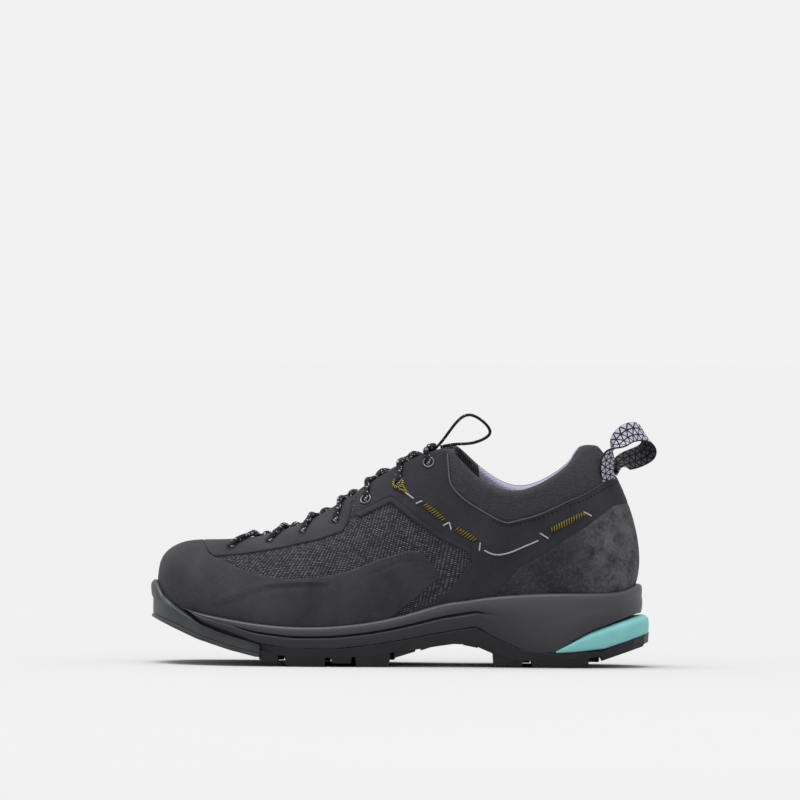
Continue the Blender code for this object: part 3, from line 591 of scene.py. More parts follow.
def makePanel(name, low, high, look, v, bend, rollLow=level(1.0), rollHigh=level(1.0)):
    # A strip of the upper's surface, from place front to rear and from share low to high up each rib
    places = np.arange(v["front"], v["rear"] + v["step"] / 2, v["step"])
    thick, low = v["thick"], low(places)
    high = np.maximum(high(places), low + 0.02)
    ribLength = 10 * np.linalg.norm(bareLast(places, 0.55) - bareLast(places, 0.45), axis=1)
    heights, depths = rolledColumns(low, high, ribLength, thick, v["across"], rollLow(places), rollHigh(places))
    place = np.repeat(places[:, None], heights.shape[1], axis=1)
    heights = np.clip(heights, 0, 1)
    depths = depths + bend(heights, bareLast(place, heights))
    place, heights, depths = (np.pad(rows, ((1, 1), (0, 0)), mode="edge") for rows in (place, heights, depths))
    depths[[0, -1]] -= thick * 1.15
    piece = gridPiece(name, lastPoint(place, heights, depths), look)
    if v["node"]:
        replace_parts(piece, v["node"])


# Each panel runs from place front to rear, counted in ribs from the toe round the lateral side
foxingValues = {
    "node": "foxing", "front": -7.0, "rear": 7.0, "thick": 1.2 * mm, "across": 44, "step": 0.1,
    "fold": 0.45 * mm,
}
eyestayValues = {"node": "eyestay", "front": -4.9, "rear": 4.9, "thick": 1.1 * mm, "across": 24, "step": 0.1}
quarterValues = {
    "node": "quarter", "front": 5.0, "rear": loopCount - 5.0, "thick": 1.1 * mm, "across": 60, "step": 0.05,
    "welt": 0.40 * mm,
}
counterValues = {
    "node": "heel_counter", "front": 9.0, "rear": loopCount - 9.0, "thick": 1.5 * mm, "across": 30,
    "step": 0.05,
}
gussetValues = {"node": "", "front": 6.4, "rear": 8.7, "thick": 1.0 * mm, "across": 24, "step": 0.05}
foldLine = ((0.872, 0.285), (0.859, 0.296), (0.810, 0.338), (0.770, 0.371), (0.727, 0.380), (0.655, 0.384))
foxingInner = ((0.560, 0.420), (0.505, 0.478), (0.472, 0.482), (0.452, 0.445), (0.428, 0.375))


def foxingBend(height, points):
    # A soft ridge where the toe cap flexes, with a trough under it, and a pressed line inside the rear tip
    v = foxingValues
    ridge = lineDistance(points, foldLine)
    under = lineDistance(points, [(a, h - 0.018) for a, h in foldLine])
    inner = lineDistance(points, foxingInner)
    fold = v["fold"] * (np.exp(-(ridge / (0.9 * mm)) ** 2) - np.exp(-(under / (1.6 * mm)) ** 2))
    slow = 0.25 * mm * np.sin(points[..., 0] * 210 + points[..., 2] * 150) * np.sin(points[..., 2] * 170 + 0.6)
    return fold - 0.35 * mm * np.exp(-(inner / (0.7 * mm)) ** 2) + slow * smoothStep(height, 0.05, 0.3)


def quarterBend(height, points):
    # A welt pressed along the front and lower edge, and a slow wave where the side panel bends
    v = quarterValues
    edge = lineDistance(points, quarterFoot[1:8])
    welt = -v["welt"] * np.exp(-((edge - 3.0 * mm) / (0.55 * mm)) ** 2)
    along = alongAt(points[..., 0])
    waves = 0.25 * mm * np.sin(along * 62) * smoothStep(along, 0.22, 0.34) * (1 - smoothStep(along, 0.42, 0.52))
    return welt + waves


def counterBend(height, points):
    # The counter slips under the side panel at its top edge
    under = lineHeight(quarterFoot, points[..., 0]) - points[..., 2]
    return -0.30 * mm * (1 - smoothStep(under, -1 * mm, 2.5 * mm))


def makeOverlays():
    foxFoot, foxTop, sideFoot = upTo(foxingFoot), upTo(foxingTop), upTo(quarterFoot)
    footRoll = lambda p: np.where(foxFoot(p) > 0.01, 1.0, 0.1)
    capRoll = lambda p: 0.35 + 0.65 * smoothStep(fromToe(p), 1.2, 2.4)
    sideRoll = lambda p: 1 - 0.90 * smoothStep(fromToe(p), 7.9, 8.2) + 0.15 * smoothStep(fromToe(p), 8.6, 9.2)
    stayFoot = lambda p: np.maximum(heightsOnLine(p, eyestayFoot), foxTop(p) + 0.003)
    still, sunk = lambda height, points: 0.0, lambda height, points: -0.12 * mm
    makePanel("foxingBand", foxFoot, foxTop, foxingSuede, foxingValues, foxingBend, footRoll, capRoll)
    makePanel("eyestayStrip", stayFoot, level(1.0), eyestaySuede, eyestayValues, still, capRoll)
    makePanel("quarterPanel", sideFoot, upTo(quarterTop), smoothNubuck, quarterValues, quarterBend, sideRoll)
    front, rear = gussetValues["front"], gussetValues["rear"]
    mirrored = dict(gussetValues, front=loopCount - rear, rear=loopCount - front)
    for name, v in (("lateralGusset", gussetValues), ("medialGusset", mirrored)):
        makePanel(name, level(0.0), upTo(gussetTop), smoothNubuck, v, sunk, level(0.1))
    makePanel(
        "counterPanel", level(0.0), upTo(quarterFoot, 0.012), roughSuede, counterValues, counterBend,
        level(0.1), level(0.6),
    )


def footRing(places, out, line=None, heights=None):
    ring = feetLine(places) + outward(places) * np.asarray(out)[..., None]
    ring[:, 2] = lineHeight(line, ring[:, 0]) if heights is None else heights
    return ring


def capGrid(grid):
    # Faces that bridge the first and last ring of a closed stack of rings, side to side
    levels, count = grid.shape[:2]
    faces = gridFaces(levels, count, False, True).tolist()
    for base in (0, (levels - 1) * count):
        for i in range(count // 2):
            ring = (i, i + 1, (count - i - 1) % count, (count - i) % count)
            spots = list(dict.fromkeys(base + k for k in ring))
            if len(spots) > 2:
                faces.append(spots)
    return faces


midsoleValues = {
    # Side profile as (share of the way down, reach outwards with the groove, and without it)
    "profile": (
        (-0.01, -0.60, -0.60), (0.00, 0.35, 0.35), (0.05, 0.86, 0.86), (0.14, 1.02, 1.02), (0.25, 1.04, 1.04),
        (0.36, 1.00, 1.02), (0.42, 0.92, 1.00), (0.455, 0.58, 1.01), (0.475, 0.56, 1.02), (0.52, 0.92, 1.06),
        (0.58, 1.10, 1.10), (0.66, 1.12, 1.12), (0.80, 1.06, 1.08), (0.92, 0.96, 1.00), (1.00, 0.84, 0.88),
    ),
    "levels": 72, "grooveFrom": 0.300, "grooveTo": 0.845, "tuckFrom": 0.900, "tuckTo": 0.945,
}


def midsoleLook():
    # Painted light down the side: a painted highlight on the upward-facing ledge and painted shade below the
    # groove; lighter at the heel
    dark, middle, light = (0.010, 0.009, 0.013), (0.022, 0.021, 0.027), (0.050, 0.049, 0.058)
    look = shader("midsoleFoam", middle, 0.45, 0.40)
    n = Nodes(look)
    down = n.uv()["Y"]
    heel = n.fit(n.split(n.place)["X"], -0.050, 0.010)
    # Ramps down the side: painted highlight at the top, painted shade lower down
    ledgeHighlightShade = n.ramp(down, light, dark, 0.16, 0.50)
    heelHighlightShade = n.ramp(down, light, middle, 0.10, 0.95)
    tone = n.blend(heel, ledgeHighlightShade, heelHighlightShade)
    grain = n.noise(2300.0, 5.0, 0.65)
    cloud = n.noise(60.0, 3.0, 0.6)
    n.to("Base Color", n.blend(n.times(cloud, 0.22), tone, light))
    n.to("Roughness", n.plus(n.times(cloud, 0.25), 0.30))
    n.to("Normal", n.bump(grain, 0.00025, 0.5))
    return look


def makeMidsole():
    v = midsoleValues
    places = np.arange(0, loopCount, ribStep)
    foot = feetLine(places)
    along = alongAt(foot[:, 0])
    tuck = smoothStep(along, v["tuckFrom"], v["tuckTo"])
    groove = smoothStep(along, v["grooveFrom"], v["grooveFrom"] + 0.07)
    groove = groove * (1 - smoothStep(along, v["grooveTo"] - 0.05, v["grooveTo"]))
    top = foot[:, 2] - 0.1 * mm
    rings, marks = [], []
    for down, grooved, plain in splineThrough(v["profile"], v["levels"]):
        out = grooved * groove + plain * (1 - groove)
        ring = footRing(places, out * shoe["soleOut"] * (1 - tuck) - 0.4 * mm * tuck, midsoleFoot)
        ring[:, 2] = top + (ring[:, 2] - top) * down
        rings.append(ring)
        marks += [(x, down) for x in along]
    grid = np.array(rings)
    piece = newPiece("midsoleBody", grid.reshape(-1, 3), capGrid(grid), midsoleLook())
    markUv(piece, marks)
    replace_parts(piece, "midsole")


def copyNode(name, node, look, bevel):
    # The solid's own shape in a new mesh, with softened edges
    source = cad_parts[node]
    mesh = source.data.copy()
    mesh.name = name
    mesh.materials.clear()
    mesh.materials.append(look)
    obj = newObject(name, mesh)
    work = bmesh.new()
    work.from_mesh(mesh)
    bmesh.ops.remove_doubles(work, verts=work.verts, dist=0.01 * mm)
    bmesh.ops.dissolve_limit(work, angle_limit=math.radians(1.0), verts=work.verts, edges=work.edges)
    work.to_mesh(mesh)
    work.free()
    modifier = obj.modifiers.new("bevel", "BEVEL")
    modifier.width = bevel
    modifier.segments = 3
    modifier.limit_method = "ANGLE"
    modifier.angle_limit = math.radians(28)
    bpy.context.view_layer.update()
    done = bpy.data.meshes.new_from_object(obj.evaluated_get(bpy.context.evaluated_depsgraph_get()))
    obj.modifiers.clear()
    obj.data = done
    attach(obj, "root")
    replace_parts(obj, node)
    return obj


treadValues = {
    # Low bars that close the gaps between lugs, as (along from, along to, height of the foot, half width)
    "bars": (
        (0.734, 0.756, 2.6 * mm, 0.46), (0.640, 0.662, 2.2 * mm, 0.52), (0.590, 0.609, 1.2 * mm, 0.50),
        (0.511, 0.530, 3.0 * mm, 0.42), (0.238, 0.264, 2.0 * mm, 0.36), (0.098, 0.130, 2.6 * mm, 0.30),
    ),
    "top": 11 * mm,
}


def blockGrid(front, rear, left, right, low, high, soft=0.7 * mm):
    # A block with rounded corners in plan and at its foot
    rings = []
    for z, inset in ((high, 0.0), (low + soft, 0.0), (low + 0.3 * soft, 0.25 * soft), (low, soft)):
        ring = []
        for x, y, turn in ((rear, right, 0.0), (front, right, 0.5), (front, left, 1.0), (rear, left, 1.5)):
            middle = np.array([x + (soft if x == front else -soft), y + (soft if y == left else -soft)])
            for k in range(4):
                angle = math.pi * (turn + k / 6)
                edge = middle + (soft - inset) * np.array([math.cos(angle), math.sin(angle)])
                ring.append((edge[0], edge[1], z))
        rings.append(ring)
    return np.array(rings)


def makeTread():
    grids = []
    for rear, front, low, wide in treadValues["bars"]:
        half = wide * shoe["halfBall"]
        grids.append(blockGrid(float(xAt(front)), float(xAt(rear)), -half, half, low, treadValues["top"]))
    newPiece("treadBars", *joinGrids(grids), outsoleRubber)


wedgeValues = {"tip": 0.188, "bulge": 0.9 * mm, "slope": 1.8 * mm, "deep": 9 * mm, "rows": 26}
wedgeTop = (
    (0.188, 0.074), (0.156, 0.116), (0.128, 0.152), (0.117, 0.164), (0.065, 0.207), (0.024, 0.240),
    (0.000, 0.246),
)
wedgeFoot = ((0.188, 0.068), (0.150, 0.072), (0.094, 0.087), (0.044, 0.131), (0.013, 0.155), (0.000, 0.173))


def makeWedge():
    # Rounded insert round the heel, running out to a point on each side
    v = wedgeValues
    along = alongAt(feetLine(np.arange(8, 13, 0.01))[:, 0])
    start = 8 + 0.01 * int(np.argmax(along < v["tip"]))
    rows = []
    for place in np.linspace(start, loopCount - start, 121):
        foot, out = feetLine(place), outward(place)
        reach = shoe["soleOut"] + shoe["heelOut"] * (1 - smoothStep(alongAt(foot[0]), 0.02, 0.12))
        high, low = lineHeight(wedgeTop, foot[0]), lineHeight(wedgeFoot, foot[0])
        full = smoothStep(high - low, 0, 6 * mm)
        turns = [(0.9, -v["deep"]), (-0.9, -v["deep"])]
        for t in np.linspace(1, -1, v["rows"]):
            bulge = v["bulge"] * (1 - abs(t) ** 3.0) - 0.8 * mm * abs(t) ** 10 - v["slope"] * max(t, 0) ** 5
            turns.insert(0, (t, bulge * full))
        spots = [foot + out * (reach + more) for t, more in turns]
        highs = [(high + low) / 2 + (high - low) / 2 * t for t, more in turns]
        rows.append([(spot[0], spot[1], z) for spot, z in zip(spots, highs)])
    piece = gridPiece("heelWedge", np.array(rows), tealFoam, loopCols=True, capRows=True)
    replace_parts(piece, "heel_insert")


def makeOutsole():
    piece = copyNode("outsoleLugs", "outsole", outsoleRubber, 0.5 * mm)
    for vertex in piece.data.vertices:
        vertex.co.x += 1.0 * mm * float(smoothStep(vertex.co.x, 0.030, 0.044))
    makeWedge()
    makeTread()


def bumperPoint(place, level, offset):
    if level >= 0:
        return lastPoint(place, level, offset)
    foot = feetLine(place) + outward(place) * (offset - 0.4 * mm)
    low = lineHeight(toeFoot, foot[0])
    foot[2] += level * (foot[2] - low)
    return foot


bumperValues = {
    "end": 3.72, "inner": 0.3 * mm, "wall": 3.0 * mm, "levels": 60,
    "band": 0.7 * mm, "bandFront": 0.14, "bandRear": 0.30, "lip": 0.45 * mm,
    "nicks": (2.72, 3.38),  # places of the small cuts in the band
}


def makeBumper():
    v = bumperValues
    rows = []
    for place in np.arange(-v["end"], v["end"] + 0.01, 0.06):
        foot = feetLine(place)
        top, low = float(lineHeight(bumperTop, foot[0])), float(lineHeight(toeFoot, foot[0]))
        if top > foot[2] + 0.5 * mm:
            high = float(heightsOnLine(np.array([place]), bumperTop)[0])
        else:
            high = -(foot[2] - top + 0.3 * mm) / (foot[2] - low)
        shares = np.linspace(0, 1, v["levels"])
        bandTop = v["bandFront"] + (v["bandRear"] - v["bandFront"]) * abs(place) / v["end"]
        nick = sum(math.exp(-((abs(place) - spot) / 0.04) ** 2) for spot in v["nicks"])
        lip = smoothStep(shares, 0.86, 0.93) * (1 - smoothStep(shares, 0.985, 1.0)) * v["lip"]
        band = v["band"] * (1 - smoothStep(shares, bandTop - 0.02, bandTop + 0.02))
        band -= 0.5 * mm * np.exp(-((shares - bandTop - 0.02) / 0.015) ** 2)
        band -= 1.6 * mm * nick * (1 - smoothStep(shares, bandTop * 0.5, bandTop * 0.9))
        edge = -0.9 * mm * (1 - smoothStep(shares, 0.0, 0.03)) - 1.2 * mm * smoothStep(shares, 0.97, 1.0)
        levels = (high + 1) * shares - 1
        outer = [bumperPoint(place, *spot) for spot in zip(levels, v["inner"] + v["wall"] + lip + band + edge)]
        rows.append(outer + [bumperPoint(place, share, v["inner"]) for share in levels[::-4]])
    piece = gridPiece("toeRand", np.array(rows), bumperRubber, loopCols=True, capRows=True)
    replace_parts(piece, "toe_bumper")


makeUpper()
makeOverlays()
print("upper made")
makeMidsole()
makeOutsole()
makeBumper()
print("sole made")


def throat(place, across, lift):
    left, right = (lastPoint(onFoot(place, side), 1.0, insideDepth) for side in (-1, 1))
    bulge = 0.06 * np.linalg.norm(right - left)
    point = (left + right) / 2 + (right - left) / 2 * across
    run = edgeLine(place + 0.05) - edgeLine(place - 0.05)
    slope = math.hypot(run[0], run[2])
    up = np.array([-run[2] / slope * math.copysign(1, run[0]), 0.0, abs(run[0]) / slope])
    return point + up * (bulge * (1 - across * across) + lift)


insoleValues = {
    # Rings from the middle outwards, as (mm inside the upper, mm over the foot line)
    "rings": ((9.0, 3.4), (5.0, 3.6), (2.0, 4.1), (0.8, 4.3), (0.2, 4.0), (0.0, 2.4), (0.3, 0.2)),
}


def makeInsole():
    places = np.arange(0, loopCount, ribStep)
    foot = feetLine(places)
    grid = np.array([
        footRing(places, np.full(len(foot), insideDepth - away * mm), heights=foot[:, 2] + high * mm)
        for away, high in insoleValues["rings"]
    ])
    piece = newPiece("insoleBoard", grid.reshape(-1, 3), capGrid(grid), liningCloth)
    markUv(piece, grid.reshape(-1, 3)[:, :2] / mm)
    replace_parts(piece, "insole")


tongueValues = {
    "front": 0.9, "rear": 7.9, "ribs": 98, "columns": 31, "thick": 3.6 * mm, "quilt": 0.35 * mm, "quilts": 4.2,
    "wings": (0.80, 0.85, 0.90, 0.95), "thinned": 0.65,  # shares up the rib where its sides lie, and of the end
}


def makeTongue():
    v = tongueValues
    outer, inner = [], []
    across, wings = np.linspace(-1, 1, v["columns"]), np.array(v["wings"])
    for place in np.linspace(v["front"], v["rear"], v["ribs"]):
        end = smoothStep(place, v["rear"] - 0.35, v["rear"])
        thin = v["thick"] * (1 - v["thinned"] * end)
        quilt = v["quilt"] * abs(math.sin(place * v["quilts"])) ** 0.5
        top = [throat(place, s, quilt * (1 - s**4) - 0.5 * v["thick"] * end**3) for s in across]
        below = [throat(place, s * 0.86, -thin) for s in across]
        for rows, middle, depth in ((outer, top, insideDepth - 0.3 * mm), (inner, below, insideDepth - thin)):
            left, right = lastPoint(place, wings, depth), lastPoint(loopCount - place, wings[::-1], depth)
            rows.append(np.concatenate([left, middle, right]))
    grid = np.concatenate([np.array(outer), np.array(inner)[:, ::-1]], axis=1)
    piece = gridPiece("tonguePad", grid, tongueCloth, loopCols=True, capRows=True)
    markUv(piece, gridMarks(grid)[0])
    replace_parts(piece, "tongue")


def tubeGrid(route, radius, sides, hint=(0.0, 0.0, 1.0)):
    # A ring of points round each point of a route
    route = np.asarray(route, float)
    runs = unit(np.gradient(route, axis=0))
    turns = 2 * math.pi * (np.arange(sides) + 0.5) / sides
    radius = np.broadcast_to(radius, len(route))
    side = np.cross(runs[0], np.asarray(hint, float))
    rings = []
    for point, run, wide in zip(route, runs, radius):
        side = unit(side - run * (side @ run))
        top = np.cross(side, run)
        rings.append(point + wide * (np.cos(turns)[:, None] * side + np.sin(turns)[:, None] * top))
    return np.array(rings)


def tubePiece(name, grids, look):
    # Several tubes in one piece, with UV = (mm along, share round) for braids and stripes
    marks = []
    for grid in grids:
        cols = grid.shape[1]
        marks += [(gone, k / cols) for gone in lengthsAlong(grid.mean(axis=1)) / mm for k in range(cols)]
    piece = newPiece(name, *joinGrids(grids), look)
    markUv(piece, marks, (0.0, 1.0))
    return piece


def braidLook(name, dark, light, share, pitch, strands=4.0):
    # Round braid: two crossed spirals of small lumps, a share of them in the light thread
    look = shader(name, dark, 0.75, 0.2)
    n = Nodes(look)
    spot = n.uv()
    run = n.times(spot["X"], 1.0 / pitch)
    turn = n.times(spot["Y"], strands)
    first, second = n.plus(run, turn), n.math("SUBTRACT", run, turn)
    chance = n.chance(first, second)
    lump = n.times(n.fold(first), n.fold(second))
    thread = n.times(n.math("LESS_THAN", chance, share), n.math("GREATER_THAN", lump, 0.05))
    n.to("Base Color", n.blend(thread, dark, light))
    n.to("Normal", n.bump(lump, 0.0012, 0.9))
    return look


def stripeLook(name, dark, light, pitch, slant=0.5):
    # Two-colour twisted cord
    look = shader(name, dark, 0.7, 0.2)
    n = Nodes(look)
    spot = n.uv()
    twist = n.plus(n.times(spot["X"], 1.0 / pitch), n.times(spot["Y"], slant))
    wave = n.fold(twist)
    n.to("Base Color", n.blend(n.math("GREATER_THAN", wave, 0.27), dark, light))
    n.to("Normal", n.bump(wave, 0.0008, 0.8))
    return look


laceBraid = braidLook("laceBraid", (0.011, 0.011, 0.013), (0.42, 0.40, 0.48), 0.20, 1.25)
bowBraid = braidLook("bowBraid", (0.011, 0.011, 0.013), (0.30, 0.29, 0.34), 0.12, 0.8, 3.0)
cordYellow = stripeLook("cordYellow", (0.012, 0.012, 0.010), (0.36, 0.29, 0.035), 1.1)
holeShade = rubberLook("holeShade", (0.002, 0.002, 0.002), (0.005, 0.005, 0.005), 0.9, 900.0)
ringMetal = rubberLook("ringMetal", (0.10, 0.10, 0.105), (0.20, 0.20, 0.21), 0.38, 900.0)
ringMetal.node_tree.nodes["Principled BSDF"].inputs["Metallic"].default_value = 0.85

laceValues = {"radius": 1.5 * mm, "lift": 1.5 * mm, "hump": 2.6 * mm, "sides": 12, "points": 64}
# Where the lace comes out on either side, as place round the shoe and share up the rib
laceSpots = (
    (2.55, 0.672), (3.31, 0.736), (3.92, 0.777), (4.59, 0.757), (5.24, 0.818), (5.98, 0.813), (6.72, 0.905),
)


def spotPoint(row, side, up=0.0, back=0.0, offset=0.0):
    # A point near one lace hole: up is the share of the way to the edge, back is along the shoe
    place, height = laceSpots[row]
    return lastPoint(onFoot(place + back, side), height + (1 - height) * up, offset)


def crossing(row, side, over):
    # Out of one hole, over the edge, across the tongue and under the other edge
    v = laceValues
    start, end = laceSpots[row][0], laceSpots[row + 1][0]
    out = v["radius"] + 0.3 * mm
    points = [
        spotPoint(row, side, -0.02, 0.0, -1.6 * mm), spotPoint(row, side, 0.06, 0.01, 0.9 * mm),
        spotPoint(row, side, 0.30, 0.03, out), spotPoint(row, side, 0.68, 0.07, out),
        spotPoint(row, side, 0.97, 0.11, out + 0.2 * mm),
    ]
    for share, hump in ((0.24, 0.75), (0.50, 1.0), (0.76, 0.45)):
        place = start + 0.14 + (end - start - 0.24) * share
        points.append(throat(place, side * (1 - 2 * share), v["lift"] + v["hump"] * hump * over))
    points.append(throat(end - 0.08, -side * 0.97, -0.4 * mm))
    points.append(throat(end - 0.03, -side * 1.12, -1.8 * mm))
    return splineThrough(points, v["points"])


def makeLaces():
    v = laceValues
    routes = []
    for row in range(len(laceSpots) - 1):
        for side in (-1, 1):
            routes.append(crossing(row, side, 1.0 if (row % 2) == (side > 0) else 0.25))
    for side, end in ((-1, knotPoints[0]), (1, knotPoints[2])):
        last = len(laceSpots) - 1
        points = [
            spotPoint(last, side, -0.05, 0.0, -1.6 * mm), spotPoint(last, side, 0.15, 0.0, 1.3 * mm),
            spotPoint(last, side, 0.6, 0.0, 1.9 * mm), spotPoint(last, side, 1.0, -0.02, 1.9 * mm),
            fromSide(end[0] + 0.006, end[1], end[2] - 0.006),
        ]
        routes.append(splineThrough(points, 40))
    grids = [tubeGrid(route, v["radius"], v["sides"]) for route in routes]
    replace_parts(tubePiece("laceCrossings", grids, laceBraid), "laces")


knotPoints = ((0.446, -0.11, 0.997), (0.440, -0.02, 1.001), (0.434, 0.07, 0.997))
bowPoints = (
    (0.4300, -0.06, 1.003), (0.4130, -0.16, 1.050), (0.388, -0.26, 1.125), (0.358, -0.28, 1.150),
    (0.326, -0.24, 1.095), (0.330, -0.16, 1.050), (0.360, -0.08, 1.022), (0.392, -0.01, 1.016),
    (0.4225, 0.04, 1.003),
)
bowValues = {"diameter": 1.7 * mm, "points": 96, "knot": 2.3 * mm}


def fromSide(along, out, height):
    return np.array([float(xAt(along)), out * shoe["halfBall"], height * shoe["instepHeight"]])


def makeBow():
    v = bowValues
    route = splineThrough([fromSide(*row) for row in bowPoints], v["points"])
    bow = tubePiece("bowLoop", [tubeGrid(route, v["diameter"] / 2, 10, hint=(0.1, 1.0, 0.1))], bowBraid)
    # The knot: a short wrapped barrel with two turns of lace round it
    line = splineThrough([fromSide(*row) for row in knotPoints], 30)
    share = np.linspace(0, 1, 30)
    waist = v["knot"] * (1 - 0.2 * np.cos(4 * math.pi * share)) * np.sin(0.35 + (math.pi - 0.7) * share) ** 0.4
    knot = tubePiece("bowKnot", [tubeGrid(line, waist, 14)], laceBraid)
    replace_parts(bow, "lace_loop")
    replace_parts(knot, "lace_knot")


# Profiles from the middle outwards, as (radius, height) in mm over the upper
holeValues = {
    "punched": ((0.05, 0.06), (2.25, 0.07), (2.35, 0.16), (2.45, 0.24), (2.65, 0.20), (2.95, 0.0), (3.0, -0.9)),
    "ring": (
        (0.05, 0.05), (2.25, 0.06), (2.35, 0.45), (2.55, 0.78), (2.85, 0.90), (3.15, 0.78), (3.35, 0.40),
        (3.4, -0.9),
    ),
    "shade": ((0.05, 0.04), (2.4, 0.04), (2.5, -0.9)),
    "sides": 40,
    # The cord loop's ends, as (place behind it, spread, share down the rib, tilt, mm over the upper)
    "tail": ((0.06, 1.0, 0.040, 0.4, 0.75), (0.14, 0.6, 0.075, 0.0, 0.6), (0.21, 0.2, 0.105, 0.0, -0.5)),
}


def roundGrid(place, height, profile):
    point, normal = lastPoint(place, height), lastNormal(place, height)
    up = unit(lastPoint(place, height + 0.01) - lastPoint(place, height - 0.01))
    along = np.cross(up, normal)
    turns = np.linspace(0, 2 * math.pi, holeValues["sides"], endpoint=False)
    spokes = np.cos(turns)[:, None] * up + np.sin(turns)[:, None] * along
    return np.array([point + radius * mm * spokes + high * mm * normal for radius, high in profile])


def roundPiece(name, spots, profile, look):
    # Round fittings set on the upper, with a dark disc inside the first ring as painted shade of the hole
    sides = holeValues["sides"]
    slots = ([1] * sides + [0] * sides * (len(profile) - 2) + [1, 0]) * len(spots)
    return newPiece(name, *joinGrids([roundGrid(*spot, profile) for spot in spots]), [look, holeShade], slots)


def makeEyelets():
    spots = [(onFoot(p, side), h) for side in (-1, 1) for p, h in laceSpots[:4]]
    roundPiece("punchedHoles", spots, holeValues["punched"], eyestaySuede)
    for row in (4, 6):
        place, height = laceSpots[row]
        for side, spot in (("lateral", place), ("medial", loopCount - place)):
            piece = roundPiece(f"{side}Ring{row + 1}", [(spot, height)], holeValues["ring"], ringMetal)
            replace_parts(piece, f"eyelet_{side}_{row + 1}")
    # Row 6 is a small cord loop; its two ends run back into the side panel
    grids, dishes = [], []
    place, height = laceSpots[5]
    for side in (-1, 1):
        spot = onFoot(place, side)
        dishes.append((spot, height))
        ring = roundGrid(spot, height, ((2.7, 0.75),))[0]
        grids.append(tubeGrid(np.concatenate([ring, ring[:2]]), 0.75 * mm, 10, hint=lastNormal(spot, height)))
        for shift in (-0.035, 0.035):
            tail = [
                lastPoint(onFoot(place + back + spread * shift, side), height - down + drop * shift, high * mm)
                for back, spread, down, drop, high in holeValues["tail"]
            ]
            grids.append(tubeGrid(splineThrough(tail, 14), 0.62 * mm, 10))
    tubePiece("cordLoops", grids, cordYellow)
    roundPiece("cordShade", dishes, holeValues["shade"], holeShade)


pullPoints = (
    (0.0825, -0.228, 0.850, 0.62, 0.78, 0.10), (0.0865, -0.266, 0.920, 0.62, 0.78, 0.10),
    (0.0810, -0.275, 0.975, 0.60, 0.74, 0.30), (0.0680, -0.258, 1.018, 0.20, 0.66, 0.72),
    (0.0540, -0.225, 1.056, -0.20, 0.45, 0.87), (0.0380, -0.190, 1.078, -0.12, 0.38, 0.92),
    (0.0205, -0.130, 1.080, -0.40, 0.35, 0.85), (0.0048, -0.020, 1.053, -0.55, 0.30, 0.78),
    (0.0002, 0.080, 1.007, -0.60, 0.20, 0.75), (0.0088, 0.130, 0.979, -0.55, 0.20, 0.80),
    (0.0259, 0.120, 0.960, -0.35, 0.25, 0.90), (0.0442, 0.090, 0.945, -0.40, 0.40, 0.80),
    (0.0570, 0.050, 0.926, -0.45, 0.70, 0.50), (0.0610, 0.010, 0.900, -0.10, 1.00, 0.10),
)
pullValues = {"half": 6.0 * mm, "thick": 0.6 * mm, "count": 150, "triangle": 3.6 * mm, "leg": 0.33}


def webLook(name, ground, line, width):
    # Webbing under a lattice of triangles, drawn along and across the band
    look = shader(name, ground, 0.8, 0.2)
    n = Nodes(look)
    spot = n.uv()
    marks = [n.fold(spot["Y"])]
    for slope in (0.5, -0.5):
        marks.append(n.fold(n.plus(spot["X"], n.times(spot["Y"], slope))))
    lines = n.math("MINIMUM", n.math("MINIMUM", marks[0], marks[1]), marks[2])
    edge = n.math("LESS_THAN", n.math("ABSOLUTE", n.math("SUBTRACT", spot["Y"], 1.5)), 1.40)
    inside = n.times(n.math("GREATER_THAN", lines, width), edge)
    fine = n.noise(4200.0, 2.0)
    n.to("Base Color", n.blend(inside, line, n.ramp(fine, tuple(c * 0.75 for c in ground), ground, 0.3, 0.7)))
    n.to("Normal", n.bump(n.plus(n.times(inside, -0.4), fine), 0.0004, 0.7))
    return look


def makePullLoop():
    v = pullValues
    count = v["count"]
    line = splineThrough([fromSide(*row[:3]) for row in pullPoints], count)
    wide = splineThrough([row[3:] for row in pullPoints], count)
    runs = unit(np.gradient(line, axis=0))
    side = unit(wide - runs * np.sum(wide * runs, axis=1, keepdims=True))
    face = np.cross(runs, side)
    across = np.linspace(-0.95, 0.95, 11)
    ring = [(-1.0, 0.0)] + [(s, -1.0) for s in across] + [(1.0, 0.0)] + [(s, 1.0) for s in across[::-1]]
    grid = np.array([
        [line[i] + side[i] * v["half"] * s + face[i] * v["thick"] * t for s, t in ring] for i in range(count)
    ])
    # Past the first leg, the inner face takes a darker copy of the webbing: painted shade inside the loop
    faces = gridFaces(count, len(ring), False, True)
    outside = (faces % len(ring)).max(axis=1) > 12
    leg = faces[:, 0] // len(ring) < v["leg"] * count
    slots = (~(outside | leg)).astype(int).tolist() + [0, 0]
    looks = [
        webLook("webOuter", (0.50, 0.48, 0.58), (0.012, 0.012, 0.014), 0.105),
        webLook("webInnerShade", (0.075, 0.073, 0.085), (0.006, 0.006, 0.007), 0.12),
    ]
    piece = newPiece("pullWebbing", *joinGrids([grid]), looks, slots)
    markUv(piece, [(gone / v["triangle"], (s + 1) * 1.5) for gone in lengthsAlong(line) for s, t in ring])
    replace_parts(piece, "pull_loop")


